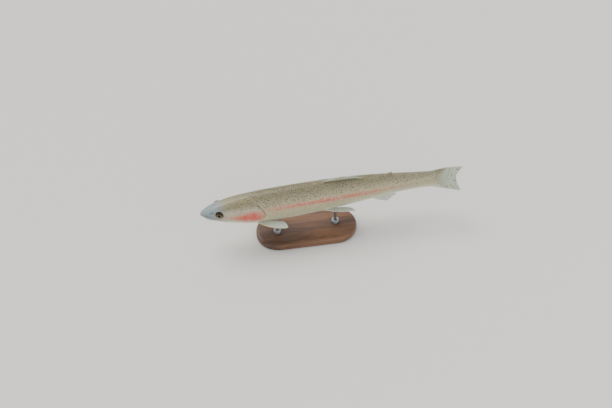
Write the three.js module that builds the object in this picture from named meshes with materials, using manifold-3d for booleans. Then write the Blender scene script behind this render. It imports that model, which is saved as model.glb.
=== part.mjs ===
// A life-size rainbow trout, gliding with a slight bend in its body, on a plain display stand.
// Millimetres, +Z up. The snout points to -X and the fish's left side faces -Y.
// The origin is the middle of the stand's underside.
import * as THREE from "three";
import { mergeVertices } from "three/addons/utils/BufferGeometryUtils.js";
import Module from "manifold-3d";

const wasm = await Module();
wasm.setup();

// ---- Driving dimensions -------------------------------------------------------------------

const LENGTH = 450; // snout to the tips of the tail fin
const AXIS_HEIGHT = 84; // the body's axis above the floor
const BALANCE_AT = 0.4035; // this share of LENGTH stands over the middle of the base
const BODY_END = 0.88; // where the flesh ends and the tail fin starts, as a share of LENGTH
const VENT_AT = 0.64; // where the trunk ends and the tail stalk starts
const GAP = 0.3; // between pieces that touch
const FIN_EDGE = 0.6; // thickness of a fin at its margin
const RAY_RIDGE = 0.25; // a fin's rays stand this far out of it near their roots
const RINGS = 34;
const RING_CROWDING = 1.65; // above 1, the rings lie closer together towards the snout
const RING_SIDES = 24;
const SPINE_STEPS = 400;
const THINNEST = 0.3; // a shrunk body keeps this share of its size at the snout

// The swimming bend, in degrees: how far the axis swings away from +X along the body.
const SWING = { scale: 11.7, turnsBackAt: 0.8, whip: 2.85 };

// Half sizes of the body as shares of LENGTH, at stations along its axis.
const STATIONS = [
  { at: 0.0, top: 0.0, bottom: 0.0, side: 0.0 }, // snout
  { at: 0.01, top: 0.0125, bottom: 0.0125, side: 0.014 }, // lips
  { at: 0.03, top: 0.0255, bottom: 0.025, side: 0.0243 }, // nostrils
  { at: 0.068, top: 0.0428, bottom: 0.0418, side: 0.0335 }, // eyes
  { at: 0.11, top: 0.0562, bottom: 0.056, side: 0.0395 }, // cheeks
  { at: 0.17, top: 0.0675, bottom: 0.0695, side: 0.044 }, // gill covers
  { at: 0.24, top: 0.0735, bottom: 0.0755, side: 0.0452 }, // shoulder
  { at: 0.34, top: 0.0755, bottom: 0.0765, side: 0.045 }, // deepest
  { at: 0.44, top: 0.0738, bottom: 0.0725, side: 0.043 }, // front of the dorsal fin
  { at: 0.55, top: 0.0685, bottom: 0.0655, side: 0.0388 },
  { at: 0.64, top: 0.0608, bottom: 0.0575, side: 0.0333 }, // vent
  { at: 0.74, top: 0.0502, bottom: 0.0473, side: 0.0257 },
  { at: 0.84, top: 0.0424, bottom: 0.0412, side: 0.0166 }, // wrist of the tail
  { at: 0.88, top: 0.0425, bottom: 0.042, side: 0.0108 },
];

// How square a section is: 2 is an ellipse, less is pinched, more is boxy.
const SQUARENESS = { headTop: 2.25, headThroat: 1.8, trunk: 2.0, headEndsAt: 0.25 };

// Side-view outlines on the head, as [mm behind the snout, mm above the axis].
const GILL_EDGE = [[83, 60], [88, 27], [98, 14], [105, 2], [106, -9], [99, -21], [86, -31], [72, -60]];
const UPPER_JAW = [
  [8, -0.5], [22, -3.5], [35, -8], [44, -12.5], [45.5, -16.5],
  [41, -17], [30, -12.5], [18, -8], [8, -4.5],
];
const GILL_COVER = [
  [61, -3], [65, 10], [78, 17], [94, 17], [112, 12],
  [112, -18], [96, -28], [79, -27], [66, -18],
];
const MOUTH_LINE = [[-6, -1.6], [0, -2.2], [15, -4.6], [30, -8.6], [44, -13.6]];
const JAW_REAR = [[45, -17], [43, -24], [40, -60]];

const PLATE_PROUD = 0.7; // the jaw plates and gill covers stand this far off the head
const PLATE_DEPTH = 2.2; // and reach this far into it
const EYE = { x: 31, up: 5.8, lateral: 12.2, radius: 7.8, bulge: 4.5, turn: 10 };

// Fins. Of a pair of numbers, the first is for the leading ray and the second for the trailing one.
// along is a share of LENGTH. Ray roots lie at lateral and up, or are sunk that far into the ridge of
// the back (1) or belly (-1). rise and out are a ray's angles in degrees: up from the axis, and outwards.
// The first ray has the share shortest of its length, and full length comes at the share fullAt.
// Towards the tips the fin leans outwards, droops, bulges at its leading ray and cups in its middle.
const FINS = {
  dorsal: {
    rays: 11, rows: 5, thick: 2.2, ridge: 1, sunk: 4, along: [0.44, 0.565],
    length: [42, 25], rise: [29, 17], out: [-5, -5], shortest: 0.3, fullAt: 0.18, lean: -2.5, droop: -2,
  },
  adipose: {
    rays: 3, rows: 5, thick: 2.4, ridge: 1, sunk: 3, along: [0.692, 0.71],
    length: [18, 7], rise: [31, 22], out: [0, 0], shortest: 1, fullAt: 1, lean: -0.5, droop: -1.5,
    fanning: 2, fading: 0.8, raised: 0,
  },
  anal: {
    rays: 10, rows: 4, thick: 2, ridge: -1, sunk: 4, along: [0.634, 0.714],
    length: [39, 18], rise: [-30, -21], out: [-5, -5], shortest: 0.35, fullAt: 0.2, lean: -1.5, droop: 1,
  },
  pectoral: {
    rays: 11, rows: 5, thick: 2.4, along: [0.202, 0.231], lateral: [13, 11.5], up: [-24, -27],
    length: [56, 34], rise: [-3, 1], out: [24, 10], shortest: 0.88, fullAt: 0.15, droop: -2,
    fanning: 1.2, bulge: 6, cup: 1,
  },
  pelvic: {
    rays: 8, rows: 4, thick: 2.2, along: [0.46, 0.482], lateral: [12.5, 8], up: [-22.5, -26.5],
    length: [58, 31], rise: [-4, -5], out: [14, 4], shortest: 0.88, fullAt: 0.15, droop: 1,
    fanning: 1.2, bulge: 3.5,
  },
};
const TAIL = { rays: 18, rows: 5, spread: 0.0645, fork: 0.022, forkShape: 1.8, curl: -3, fading: 4 };

const BASE = { length: 172, width: 74, height: 12, bevel: 2.5 };
const ROD = { radius: 2.5, at: [0.29, 0.515], inBase: 8, inBody: 9, collarRadius: 6.5, collarHeight: 5 };

const COLOURS = {
  back: { color: 0x8f8668, roughness: 0.35 },
  cheek: { color: 0xc98a72, roughness: 0.3 },
  rayedFin: { color: 0xa9a68c, roughness: 0.45 },
  paleFin: { color: 0xc3c4b2, roughness: 0.45 },
  eye: { color: 0x2a2620, roughness: 0.05 },
  wood: { color: 0x4b3324, roughness: 0.5 },
  steel: { color: 0xb9bbbd, roughness: 0.3, metalness: 1 },
};

// ---- Curves -------------------------------------------------------------------------------

const radians = THREE.MathUtils.degToRad;
const lerp = THREE.MathUtils.lerp;

// The natural cubic spline through (x[i], y[i]), as a function.
function spline(x, y) {
  const last = x.length - 1;
  const upper = [0];
  const right = [0];
  for (let i = 1; i < last; i++) {
    const before = x[i] - x[i - 1];
    const after = x[i + 1] - x[i];
    const pivot = 2 * (before + after) - before * upper[i - 1];
    const rise = (y[i + 1] - y[i]) / after - (y[i] - y[i - 1]) / before;
    upper.push(after / pivot);
    right.push((6 * rise - before * right[i - 1]) / pivot);
  }
  const bend = new Array(last + 1).fill(0);
  for (let i = last - 1; i > 0; i--) bend[i] = right[i] - upper[i] * bend[i + 1];
  return (at) => {
    let i = 0;
    while (i < last - 1 && at > x[i + 1]) i++;
    const step = x[i + 1] - x[i];
    const a = (x[i + 1] - at) / step;
    const b = 1 - a;
    const curve = ((a ** 3 - a) * bend[i] + (b ** 3 - b) * bend[i + 1]) * step ** 2;
    return a * y[i] + b * y[i + 1] + curve / 6;
  };
}

// A half size of the body in mm. Read against the root of the station, it rounds off the snout.
function bodySize(name) {
  const roots = STATIONS.map((row) => Math.sqrt(row.at));
  const size = spline(roots, STATIONS.map((row) => row[name] * LENGTH));
  return (at) => size(Math.sqrt(at));
}
const top = bodySize("top");
const bottom = bodySize("bottom");
const side = bodySize("side");

// The bent axis: its place and heading at a distance from the snout in mm, on past the tail.
const AXIS = [{ x: 0, y: 0, heading: 0 }];
for (let i = 1; i <= SPINE_STEPS; i++) {
  const at = (i - 0.5) / SPINE_STEPS;
  const swing = SWING.scale * at * (SWING.turnsBackAt - at) * (1 + SWING.whip * at);
  const heading = radians(swing);
  const step = LENGTH / SPINE_STEPS;
  const { x, y } = AXIS[i - 1];
  AXIS.push({ x: x + step * Math.cos(heading), y: y + step * Math.sin(heading), heading });
}
const MIDDLE = AXIS[Math.round(BALANCE_AT * SPINE_STEPS)];

// Carries a point of the straight fish to its place on the bent one: mm behind the snout, to the
// right of the axis and above it.
function place(along, lateral, up) {
  const share = THREE.MathUtils.clamp(along / LENGTH, 0, 1) * SPINE_STEPS;
  const i = Math.min(Math.floor(share), SPINE_STEPS - 1);
  const x = lerp(AXIS[i].x, AXIS[i + 1].x, share - i);
  const y = lerp(AXIS[i].y, AXIS[i + 1].y, share - i);
  const { heading } = AXIS[i + 1];
  const over = along - (share / SPINE_STEPS) * LENGTH;
  return new THREE.Vector3(
    x - MIDDLE.x + over * Math.cos(heading) - lateral * Math.sin(heading),
    y - MIDDLE.y + over * Math.sin(heading) + lateral * Math.cos(heading),
    AXIS_HEIGHT + up,
  );
}

// ---- Solids -------------------------------------------------------------------------------

function solid(geometry) {
  const bare = geometry.clone();
  bare.deleteAttribute("normal");
  bare.deleteAttribute("uv");
  const merged = mergeVertices(bare, 1e-4);
  return new wasm.Manifold(
    new wasm.Mesh({
      numProp: 3,
      vertProperties: merged.attributes.position.array,
      triVerts: new Uint32Array(merged.index.array),
    }),
  );
}

// The largest of a solid's separate bodies: a cut can leave slivers beside it.
function largest(shape) {
  return shape.decompose().reduce((a, b) => (a.volume() > b.volume() ? a : b));
}

function mesh(name, shape, material) {
  const { numProp, numVert, vertProperties, triVerts } = largest(shape).getMesh();
  const position = new Float32Array(numVert * 3);
  for (let i = 0; i < numVert; i++) {
    position.set(vertProperties.subarray(i * numProp, i * numProp + 3), i * 3);
  }
  const geometry = new THREE.BufferGeometry()
    .setAttribute("position", new THREE.BufferAttribute(position, 3))
    .setIndex(new THREE.BufferAttribute(triVerts, 1));
  geometry.computeVertexNormals();
  const made = new THREE.Mesh(geometry, new THREE.MeshStandardMaterial(material));
  made.name = name;
  return made;
}

// A solid from points and triangles.
function solidFrom(points, faces) {
  const geometry = new THREE.BufferGeometry().setFromPoints(points);
  geometry.setIndex(faces);
  return solid(geometry);
}

// A side-view outline, run across the fish as a prism wider than the body.
function prism(outline) {
  const shape = new THREE.Shape(outline);
  const depth = 200;
  const geometry = new THREE.ExtrudeGeometry(shape, { depth, bevelEnabled: false, steps: 1 });
  geometry.translate(0, 0, -depth / 2);
  geometry.rotateX(Math.PI / 2);
  const { x } = place(0, 0, 0);
  geometry.translate(x, 0, AXIS_HEIGHT);
  return solid(geometry);
}

function smooth(points, closed = false, steps = 20) {
  const curve = new THREE.CatmullRomCurve3(
    points.map(([x, z]) => new THREE.Vector3(x, z, 0)),
    closed,
  );
  const made = curve.getPoints(steps).map(({ x, y }) => new THREE.Vector2(x, y));
  return closed ? made.slice(0, -1) : made;
}

// ---- The body -----------------------------------------------------------------------------

function squareness(at, up) {
  const share = THREE.MathUtils.smoothstep(at, 0, SQUARENESS.headEndsAt);
  const head = up > 0 ? SQUARENESS.headTop : SQUARENESS.headThroat;
  return lerp(head, SQUARENESS.trunk, share);
}

// A point of the body's surface, grown outwards by a distance. Turn 0 is the right side, and a
// quarter turn is the back.
function surfacePoint(at, turn, grow = 0) {
  const across = Math.cos(turn);
  const up = Math.sin(turn);
  const power = 2 / squareness(at, up);
  const grown = (size) => Math.max(size + grow, size * THINNEST);
  const lateral = grown(side(at)) * Math.sign(across) * Math.abs(across) ** power;
  const height = grown((up > 0 ? top : bottom)(at)) * Math.sign(up) * Math.abs(up) ** power;
  return [lateral, height];
}

// The whole body, grown outwards, or shrunk by a negative distance.
function bodySolid(grow = 0) {
  const points = [place(-grow, 0, 0)];
  for (let ring = 1; ring <= RINGS; ring++) {
    const at = BODY_END * (ring / RINGS) ** RING_CROWDING;
    for (let k = 0; k < RING_SIDES; k++) {
      const [lateral, height] = surfacePoint(at, (k / RING_SIDES) * 2 * Math.PI, grow);
      points.push(place(at * LENGTH, lateral, height));
    }
  }
  points.push(place(BODY_END * LENGTH, 0, 0));
  const tail = points.length - 1;
  const vertex = (ring, k) => 1 + (ring - 1) * RING_SIDES + (k % RING_SIDES);
  const faces = [];
  for (let k = 0; k < RING_SIDES; k++) {
    faces.push(0, vertex(1, k + 1), vertex(1, k));
    for (let ring = 1; ring < RINGS; ring++) {
      const [a, b] = [vertex(ring, k), vertex(ring, k + 1)];
      const [c, d] = [vertex(ring + 1, k), vertex(ring + 1, k + 1)];
      faces.push(a, b, c, b, d, c);
    }
    faces.push(tail, vertex(RINGS, k), vertex(RINGS, k + 1));
  }
  return solidFrom(points, faces);
}

// ---- Head ---------------------------------------------------------------------------------

// An outline moved outwards by a distance.
function widen(outline, by) {
  const turn = THREE.ShapeUtils.isClockWise(outline) ? 1 : -1;
  return outline.map((point, i) => {
    const before = outline.at(i - 1);
    const after = outline[(i + 1) % outline.length];
    const along = after.clone().sub(before).normalize();
    return new THREE.Vector2(-along.y, along.x).multiplyScalar(by * turn).add(point);
  });
}

function eyeSolid(right, grow = 0) {
  const geometry = new THREE.SphereGeometry(1, 14, 8);
  geometry.scale(EYE.radius + grow, EYE.bulge + grow, EYE.radius + grow);
  geometry.rotateZ(right * radians(EYE.turn));
  geometry.translate(...place(EYE.x, right * EYE.lateral, EYE.up));
  return solid(geometry);
}

// The pair of bony plates with one outline, left then right, and the pocket that they lie in.
function plates(outline, points) {
  const edge = smooth(outline, true, points);
  const shell = bodySolid(PLATE_PROUD).subtract(bodySolid(-PLATE_DEPTH)).intersect(prism(edge));
  const pocket = prism(widen(edge, GAP)).subtract(bodySolid(-PLATE_DEPTH - GAP));
  const { y } = place(outline[0][0], 0, 0);
  return { pair: [shell.trimByPlane([0, -1, 0], -y), shell.trimByPlane([0, 1, 0], y)], pocket };
}

function headMeshes(body) {
  const behindGills = prism([
    ...smooth(GILL_EDGE),
    new THREE.Vector2(LENGTH, -60),
    new THREE.Vector2(LENGTH, 60),
  ]);
  const jaw = [...smooth(MOUTH_LINE, false, 8), ...smooth(JAW_REAR, false, 4), new THREE.Vector2(-6, -60)];
  const covers = plates(GILL_COVER, 26);
  const lips = plates(UPPER_JAW, 16);
  const front = body.subtract(behindGills).subtract(covers.pocket).subtract(lips.pocket);
  const skull = front
    .subtract(prism(widen(jaw, GAP)))
    .subtract(eyeSolid(1, GAP))
    .subtract(eyeSolid(-1, GAP));
  const meshes = [
    mesh("head", skull, COLOURS.back),
    mesh("lower_jaw", front.intersect(prism(jaw)), COLOURS.back),
  ];
  ["left", "right"].forEach((name, i) => {
    meshes.push(mesh(`upper_jaw_${name}`, lips.pair[i], COLOURS.cheek));
    meshes.push(mesh(`gill_cover_${name}`, covers.pair[i].subtract(behindGills), COLOURS.cheek));
    meshes.push(mesh(`eye_${name}`, eyeSolid([-1, 1][i]), COLOURS.eye));
  });
  return { meshes, rest: body.intersect(behindGills.translate([GAP, 0, 0])) };
}

// ---- Fins ---------------------------------------------------------------------------------

// The end of a ray that leaves a root at two angles in degrees: up from the axis, and out to the right.
function rayTip([along, lateral, up], length, rise, out) {
  const level = length * Math.cos(radians(rise));
  return [
    along + level * Math.cos(radians(out)),
    lateral + level * Math.sin(radians(out)),
    up + length * Math.sin(radians(rise)),
  ];
}

// A fin as a sheet of rays. root(f) and tip(f) are a ray's ends on the straight fish, with f
// from 0, the leading ray, to 1. bow(f, t) shifts the sheet right and up along the ray.
function finSolid({ rays, rows, root, tip, bow, thick, fading, raised, spread }) {
  const columns = 2 * rays - 1;
  const membrane = 0.985; // the margin between two rays is this share of their length
  const middle = [];
  const halves = [];
  for (let c = 0; c < columns; c++) {
    const f = c / (columns - 1);
    const onRay = c % 2 === 0;
    const [a, b] = [root(f), tip(f)];
    for (let r = 0; r <= rows; r++) {
      const t = (r / rows) * (onRay ? 1 : membrane);
      const [sideways, upwards] = bow(f, t);
      const along = lerp(a[0], b[0], t);
      middle.push(place(along, lerp(a[1], b[1], t) + sideways, lerp(a[2], b[2], spread(t)) + upwards));
      halves.push(FIN_EDGE / 2 + (thick(f) / 2) * (1 - t) ** fading + (onRay ? raised * (1 - t) : 0));
    }
  }
  const vertex = (c, r) => c * (rows + 1) + r;
  const between = (c, r, d, q) => middle[vertex(c, r)].clone().sub(middle[vertex(d, q)]);
  const skin = (sign) =>
    middle.map((point, i) => {
      const c = Math.floor(i / (rows + 1));
      const r = i % (rows + 1);
      const across = between(Math.min(c + 1, columns - 1), r, Math.max(c - 1, 0), r);
      const outwards = between(c, Math.min(r + 1, rows), c, Math.max(r - 1, 0));
      return outwards.cross(across).normalize().multiplyScalar(sign * halves[i]).add(point);
    });
  const points = [...skin(1), ...skin(-1)];
  const back = middle.length;
  const triangles = [];
  const quad = (a, b, c, d) => triangles.push(a, b, c, a, c, d);
  for (let c = 0; c < columns - 1; c++) {
    for (let r = 0; r < rows; r++) {
      const corners = [vertex(c, r), vertex(c, r + 1), vertex(c + 1, r + 1), vertex(c + 1, r)];
      quad(...corners);
      quad(...corners.map((corner) => back + corner).reverse());
    }
    const [p, q, s, u] = [vertex(c, 0), vertex(c + 1, 0), vertex(c + 1, rows), vertex(c, rows)];
    quad(p, q, back + q, back + p);
    quad(s, u, back + u, back + s);
  }
  for (let r = 0; r < rows; r++) {
    const [p, q, s, u] = [vertex(0, r), vertex(0, r + 1), vertex(columns - 1, r + 1), vertex(columns - 1, r)];
    quad(q, p, back + p, back + q);
    quad(u, s, back + s, back + u);
  }
  const made = solidFrom(points, triangles);
  return made.volume() > 0 ? made : solidFrom(points, triangles.reverse());
}

// A fin from its plan. right is 1 on the right side, and for the fins in the middle.
function finFromPlan(name, right = 1) {
  const defaults = { fanning: 1, fading: 2, raised: RAY_RIDGE, lean: 0, droop: 0, bulge: 0, cup: 0 };
  const plan = { ...defaults, ...FINS[name] };
  const ridge = plan.ridge === 1 ? top : bottom;
  const root = (f) => {
    const along = lerp(...plan.along, f);
    if (plan.ridge) return [along * LENGTH, 0, plan.ridge * (ridge(along) - plan.sunk)];
    return [along * LENGTH, right * lerp(...plan.lateral, f), lerp(...plan.up, f)];
  };
  const tip = (f) => {
    const rounding = THREE.MathUtils.smoothstep(f, -plan.fullAt / 2, plan.fullAt);
    const length = lerp(...plan.length, f ** plan.fanning) * lerp(plan.shortest, 1, rounding);
    return rayTip(root(f), length, lerp(...plan.rise, f), right * lerp(...plan.out, f));
  };
  const bow = (f, t) => [
    right * (plan.lean * t * t + plan.bulge * (1 - f) * Math.sin(Math.PI * t)),
    plan.droop * t * t + plan.cup * Math.sin(Math.PI * f) * t,
  ];
  return finSolid({ ...plan, root, tip, bow, thick: () => plan.thick, spread: (t) => t });
}

function tailFin() {
  const height = (f) => 1 - 2 * f;
  const root = (f) => {
    const half = (height(f) > 0 ? top : bottom)(BODY_END);
    return [BODY_END * LENGTH + GAP, 0, height(f) * half];
  };
  const tip = (f) => {
    const fork = TAIL.fork * (1 - Math.abs(height(f)) ** TAIL.forkShape);
    return [(1 - fork) * LENGTH, 0, height(f) * TAIL.spread * LENGTH];
  };
  const bow = (f, t) => [TAIL.curl * t * t * height(f) ** 2, 0];
  const thick = (f) => 2 * side(BODY_END) * Math.sqrt(1 - height(f) ** 2);
  const spread = (t) => Math.sin((t * Math.PI) / 2);
  return finSolid({ ...TAIL, root, tip, bow, thick, spread, raised: RAY_RIDGE });
}

function finMeshes() {
  const flesh = bodySolid(GAP);
  const gills = bodySolid(PLATE_PROUD + GAP);
  const made = [
    mesh("fin_dorsal", finFromPlan("dorsal").subtract(flesh), COLOURS.rayedFin),
    mesh("fin_adipose", finFromPlan("adipose").subtract(flesh), COLOURS.rayedFin),
    mesh("fin_anal", finFromPlan("anal").subtract(flesh), COLOURS.paleFin),
    mesh("fin_tail", tailFin(), COLOURS.rayedFin),
  ];
  for (const [name, right] of [["left", -1], ["right", 1]]) {
    made.push(mesh(`fin_pectoral_${name}`, finFromPlan("pectoral", right).subtract(gills), COLOURS.paleFin));
    made.push(mesh(`fin_pelvic_${name}`, finFromPlan("pelvic", right).subtract(flesh), COLOURS.paleFin));
  }
  return made;
}

// ---- Stand --------------------------------------------------------------------------------

// An upright cylinder between two heights, under or in the body at a share of its length.
function post(at, radius, low, high) {
  const geometry = new THREE.CylinderGeometry(radius, radius, high - low, 20);
  geometry.rotateX(Math.PI / 2);
  const { x, y } = place(at * LENGTH, 0, 0);
  geometry.translate(x, y, (low + high) / 2);
  return solid(geometry);
}

const rodFoot = BASE.height - ROD.inBase;
const rodHead = (at) => AXIS_HEIGHT - bottom(at) + ROD.inBody;

// The hole that a rod stands in, with clearance all round.
function rodHole(at) {
  return post(at, ROD.radius + GAP, rodFoot - GAP, rodHead(at) + GAP);
}

function baseSolid() {
  const end = BASE.width / 2;
  const straight = BASE.length / 2 - end;
  const shape = new THREE.Shape()
    .absarc(straight, 0, end, -Math.PI / 2, Math.PI / 2)
    .absarc(-straight, 0, end, Math.PI / 2, (3 * Math.PI) / 2);
  const geometry = new THREE.ExtrudeGeometry(shape, {
    depth: BASE.height - 2 * BASE.bevel,
    bevelThickness: BASE.bevel,
    bevelSize: BASE.bevel,
    bevelOffset: -BASE.bevel,
    bevelSegments: 2,
    curveSegments: 8,
  });
  geometry.translate(0, 0, BASE.bevel);
  return solid(geometry);
}

function standMeshes() {
  const base = ROD.at.reduce((plate, at) => plate.subtract(rodHole(at)), baseSolid());
  const made = [mesh("stand_base", base, COLOURS.wood)];
  ROD.at.forEach((at, i) => {
    const name = ["front", "rear"][i];
    const foot = BASE.height + GAP;
    const collar = post(at, ROD.collarRadius, foot, foot + ROD.collarHeight).subtract(rodHole(at));
    made.push(mesh(`stand_rod_${name}`, post(at, ROD.radius, rodFoot, rodHead(at)), COLOURS.steel));
    made.push(mesh(`stand_collar_${name}`, collar, COLOURS.steel));
  });
  return made;
}

// ---- The whole ----------------------------------------------------------------------------

function trout() {
  const { meshes, rest } = headMeshes(bodySolid());
  const drilled = ROD.at.reduce((flesh, at) => flesh.subtract(rodHole(at)), rest);
  const tailFrom = (shift) => {
    const x = VENT_AT * LENGTH + shift;
    const corners = [[x, -100], [2 * LENGTH, -100], [2 * LENGTH, 100], [x, 100]];
    return prism(corners.map((corner) => new THREE.Vector2(...corner)));
  };
  const group = new THREE.Group();
  group.add(
    ...meshes,
    mesh("trunk", drilled.subtract(tailFrom(0)), COLOURS.back),
    mesh("tail_stalk", drilled.intersect(tailFrom(GAP)), COLOURS.back),
    ...finMeshes(),
    ...standMeshes(),
  );
  return group;
}

export default trout();
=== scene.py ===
import math

import bpy
import numpy as np
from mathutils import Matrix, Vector


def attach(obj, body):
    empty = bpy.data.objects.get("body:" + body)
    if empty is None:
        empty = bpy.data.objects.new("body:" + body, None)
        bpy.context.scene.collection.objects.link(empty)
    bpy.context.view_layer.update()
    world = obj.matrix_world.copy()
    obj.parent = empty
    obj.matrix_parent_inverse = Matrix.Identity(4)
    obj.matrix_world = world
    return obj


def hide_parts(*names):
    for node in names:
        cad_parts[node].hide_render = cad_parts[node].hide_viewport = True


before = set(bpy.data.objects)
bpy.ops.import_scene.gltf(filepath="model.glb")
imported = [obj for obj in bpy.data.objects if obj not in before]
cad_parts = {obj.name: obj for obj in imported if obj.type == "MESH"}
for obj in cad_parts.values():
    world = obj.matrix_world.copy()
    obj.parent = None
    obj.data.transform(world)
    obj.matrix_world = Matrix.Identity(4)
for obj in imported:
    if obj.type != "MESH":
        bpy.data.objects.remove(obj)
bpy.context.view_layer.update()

# A rainbow trout on a display stand. Shapes are worked out in mm, on the straight fish first:
# mm behind the snout, mm to its right and mm above its axis. place() then bends it.
# The snout points to -X and the left side faces -Y. Meshes are made in metres.
MM = 0.001
rng = np.random.default_rng(12)

# ---- The fish's own measures, the same as the solids' ----
LENGTH = 450.0
AXIS_HEIGHT = 84.0
BALANCE_AT = 0.4035
BODY_END = 0.88
SWING = {"scale": 11.7, "turns_back_at": 0.8, "whip": 2.85}
SPINE_STEPS = 400
STATIONS = np.array([
    # share of LENGTH, then half sizes: top, bottom, side
    (0.0, 0.0, 0.0, 0.0),
    (0.01, 0.0125, 0.0125, 0.014),
    (0.03, 0.0255, 0.025, 0.0243),
    (0.068, 0.0428, 0.0418, 0.0335),
    (0.11, 0.0562, 0.056, 0.0395),
    (0.17, 0.0675, 0.0695, 0.044),
    (0.24, 0.0735, 0.0755, 0.0452),
    (0.34, 0.0755, 0.0765, 0.045),
    (0.44, 0.0738, 0.0725, 0.043),
    (0.55, 0.0685, 0.0655, 0.0388),
    (0.64, 0.0608, 0.0575, 0.0333),
    (0.74, 0.0502, 0.0473, 0.0257),
    (0.84, 0.0424, 0.0412, 0.0166),
    (0.88, 0.0425, 0.042, 0.0108),
])
SQUARENESS = {"head_top": 2.25, "head_throat": 1.8, "trunk": 2.0, "head_ends_at": 0.25}
COAT = 0.4  # the skin lies this far inside the solids

# Side-view lines on the head: mm behind the snout, mm above the axis.
GILL_EDGE = [(83, 60), (88, 27), (98, 14), (105, 2), (106, -9), (99, -21), (86, -31), (72, -60)]
UPPER_JAW = [
    (8, -0.5), (22, -3.5), (35, -8), (44, -12.5), (45.5, -16.5),
    (41, -17), (30, -12.5), (18, -8), (8, -4.5),
]
JAW_STRIP = [(27, -4.6), (35, -6.8), (43.5, -11.5), (41, -13), (34, -9.6)]
GAPE = [(-6, -1.6), (0, -2.2), (7, -3.9), (18, -8.2), (30, -12.9), (41, -17.4), (45, -17.6)]
CHEEK_EDGE = [(67, 17), (65, 7), (65.5, -4), (64, -13), (59, -19.5), (50, -23), (42, -23.5)]
CHEEK_FRONT = [(58, 14), (56, 5), (55.5, -3), (53, -10), (48, -15), (44, -18)]
COVER_SUTURE = [(65, -11), (76, -13.5), (88, -16), (100, -18)]
LOWER_SUTURE = [(62, -18), (72, -23), (84, -27.5)]
EYE = {"along": 31.0, "up": 5.8, "lateral": 12.2, "radius": 7.8, "bulge": 4.5, "turn": 10.0}
EYE_SHOWS = 6.5  # radius of the part of the eye that the lids leave free
NOSTRILS = [(16.6, 8.2, 0.8, 0.8), (19.6, 9.3, 1.2, 0.75)]  # along, up, half length, half height

# Fins. Of a pair of numbers, the first is for the leading ray and the second for the trailing one.
FINS = {
    "dorsal": {
        "thick": 2.2, "ridge": 1, "sunk": 4, "along": (0.44, 0.565), "length": (41.5, 25), "rise": (29, 17),
        "out": (-5, -5), "shortest": 0.3, "fullAt": 0.18, "lean": -2.5, "droop": -2,
    },
    "adipose": {
        "thick": 2.4, "ridge": 1, "sunk": 3, "along": (0.692, 0.71), "length": (18, 7), "rise": (31, 22),
        "out": (0, 0), "shortest": 1, "fullAt": 1, "lean": -0.5, "droop": -1.5, "fanning": 2,
    },
    "anal": {
        "thick": 2, "ridge": -1, "sunk": 4, "along": (0.634, 0.714), "length": (39, 18), "rise": (-30, -21),
        "out": (-5, -5), "shortest": 0.35, "fullAt": 0.2, "lean": -1.5, "droop": 1,
    },
    "pectoral": {
        "thick": 2.4, "along": (0.202, 0.231), "lateral": (13, 11.5), "up": (-24, -27), "length": (56, 34),
        "rise": (-3, 1), "out": (24, 10), "shortest": 0.88, "fullAt": 0.15, "droop": -2, "fanning": 1.2,
        "bulge": 6, "cup": 1,
    },
    "pelvic": {
        "thick": 2.2, "along": (0.46, 0.482), "lateral": (12.5, 8), "up": (-22.5, -26.5),
        "length": (58, 31), "rise": (-4, -5), "out": (14, 4), "shortest": 0.88, "fullAt": 0.15,
        "droop": 1, "fanning": 1.2, "bulge": 3.5,
    },
}
TAIL = {
    "spread": 0.0645, "fork": 0.022, "forkShape": 1.8, "curl": -3, "fading": 4,
    "edge_sunk": 0.1, "side_sunk": 0.12,  # mm that its root lies under the skin
}


# ---- Small maths ----
def ramp(low, high, value):
    share = np.clip((value - low) / (high - low), 0, 1)
    return share * share * (3 - 2 * share)


def bell(value, width):
    return np.exp(-((value / width) ** 2))


def mixed(a, b, share):
    return a + (b - a) * share


def unit(vectors):
    return vectors / np.linalg.norm(vectors, axis=-1, keepdims=True).clip(1e-12)


def spline(x, y):
    """The natural cubic spline through the points, as a function."""
    x, y = np.asarray(x, float), np.asarray(y, float)
    step = np.diff(x)
    last = len(x) - 1
    system, wanted = np.eye(last + 1), np.zeros(last + 1)
    for i in range(1, last):
        system[i, i - 1 : i + 2] = step[i - 1], 2 * (step[i - 1] + step[i]), step[i]
        wanted[i] = 6 * ((y[i + 1] - y[i]) / step[i] - (y[i] - y[i - 1]) / step[i - 1])
    bend = np.linalg.solve(system, wanted)

    def at(value):
        i = np.clip(np.searchsorted(x, value) - 1, 0, last - 1)
        a = (x[i + 1] - value) / step[i]
        b = 1 - a
        curve = ((a**3 - a) * bend[i] + (b**3 - b) * bend[i + 1]) * step[i] ** 2
        return a * y[i] + b * y[i + 1] + curve / 6

    return at


def smooth_line(points, closed=False, steps=6):
    """A smooth line through points, as an array of points."""
    knots = np.array(points, float)
    if closed:
        knots = np.concatenate([knots[-2:], knots, knots[:3]])
    run = np.concatenate([[0], np.cumsum(np.hypot(*np.diff(knots, axis=0).T))])
    first, last = (2, len(knots) - 3) if closed else (0, len(knots) - 1)
    at = np.linspace(run[first], run[last], steps * (last - first) + 1)
    return np.stack([spline(run, knots[:, i])(at) for i in range(2)], -1)


def nearest(line, x, z):
    """Each point's distance from a line of points, and the place on the line nearest to it."""
    best, best_x, best_z = (np.full(np.shape(x), 1e9) for _ in range(3))
    for (ax, az), (bx, bz) in zip(line[:-1], line[1:]):
        dx, dz = bx - ax, bz - az
        share = np.clip(((x - ax) * dx + (z - az) * dz) / (dx * dx + dz * dz), 0, 1)
        there_x, there_z = ax + share * dx, az + share * dz
        gap = np.hypot(x - there_x, z - there_z)
        closer = gap < best
        best = np.where(closer, gap, best)
        best_x, best_z = np.where(closer, there_x, best_x), np.where(closer, there_z, best_z)
    return best, best_x, best_z


def away(line, x, z):
    return nearest(line, x, z)[0]


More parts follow.
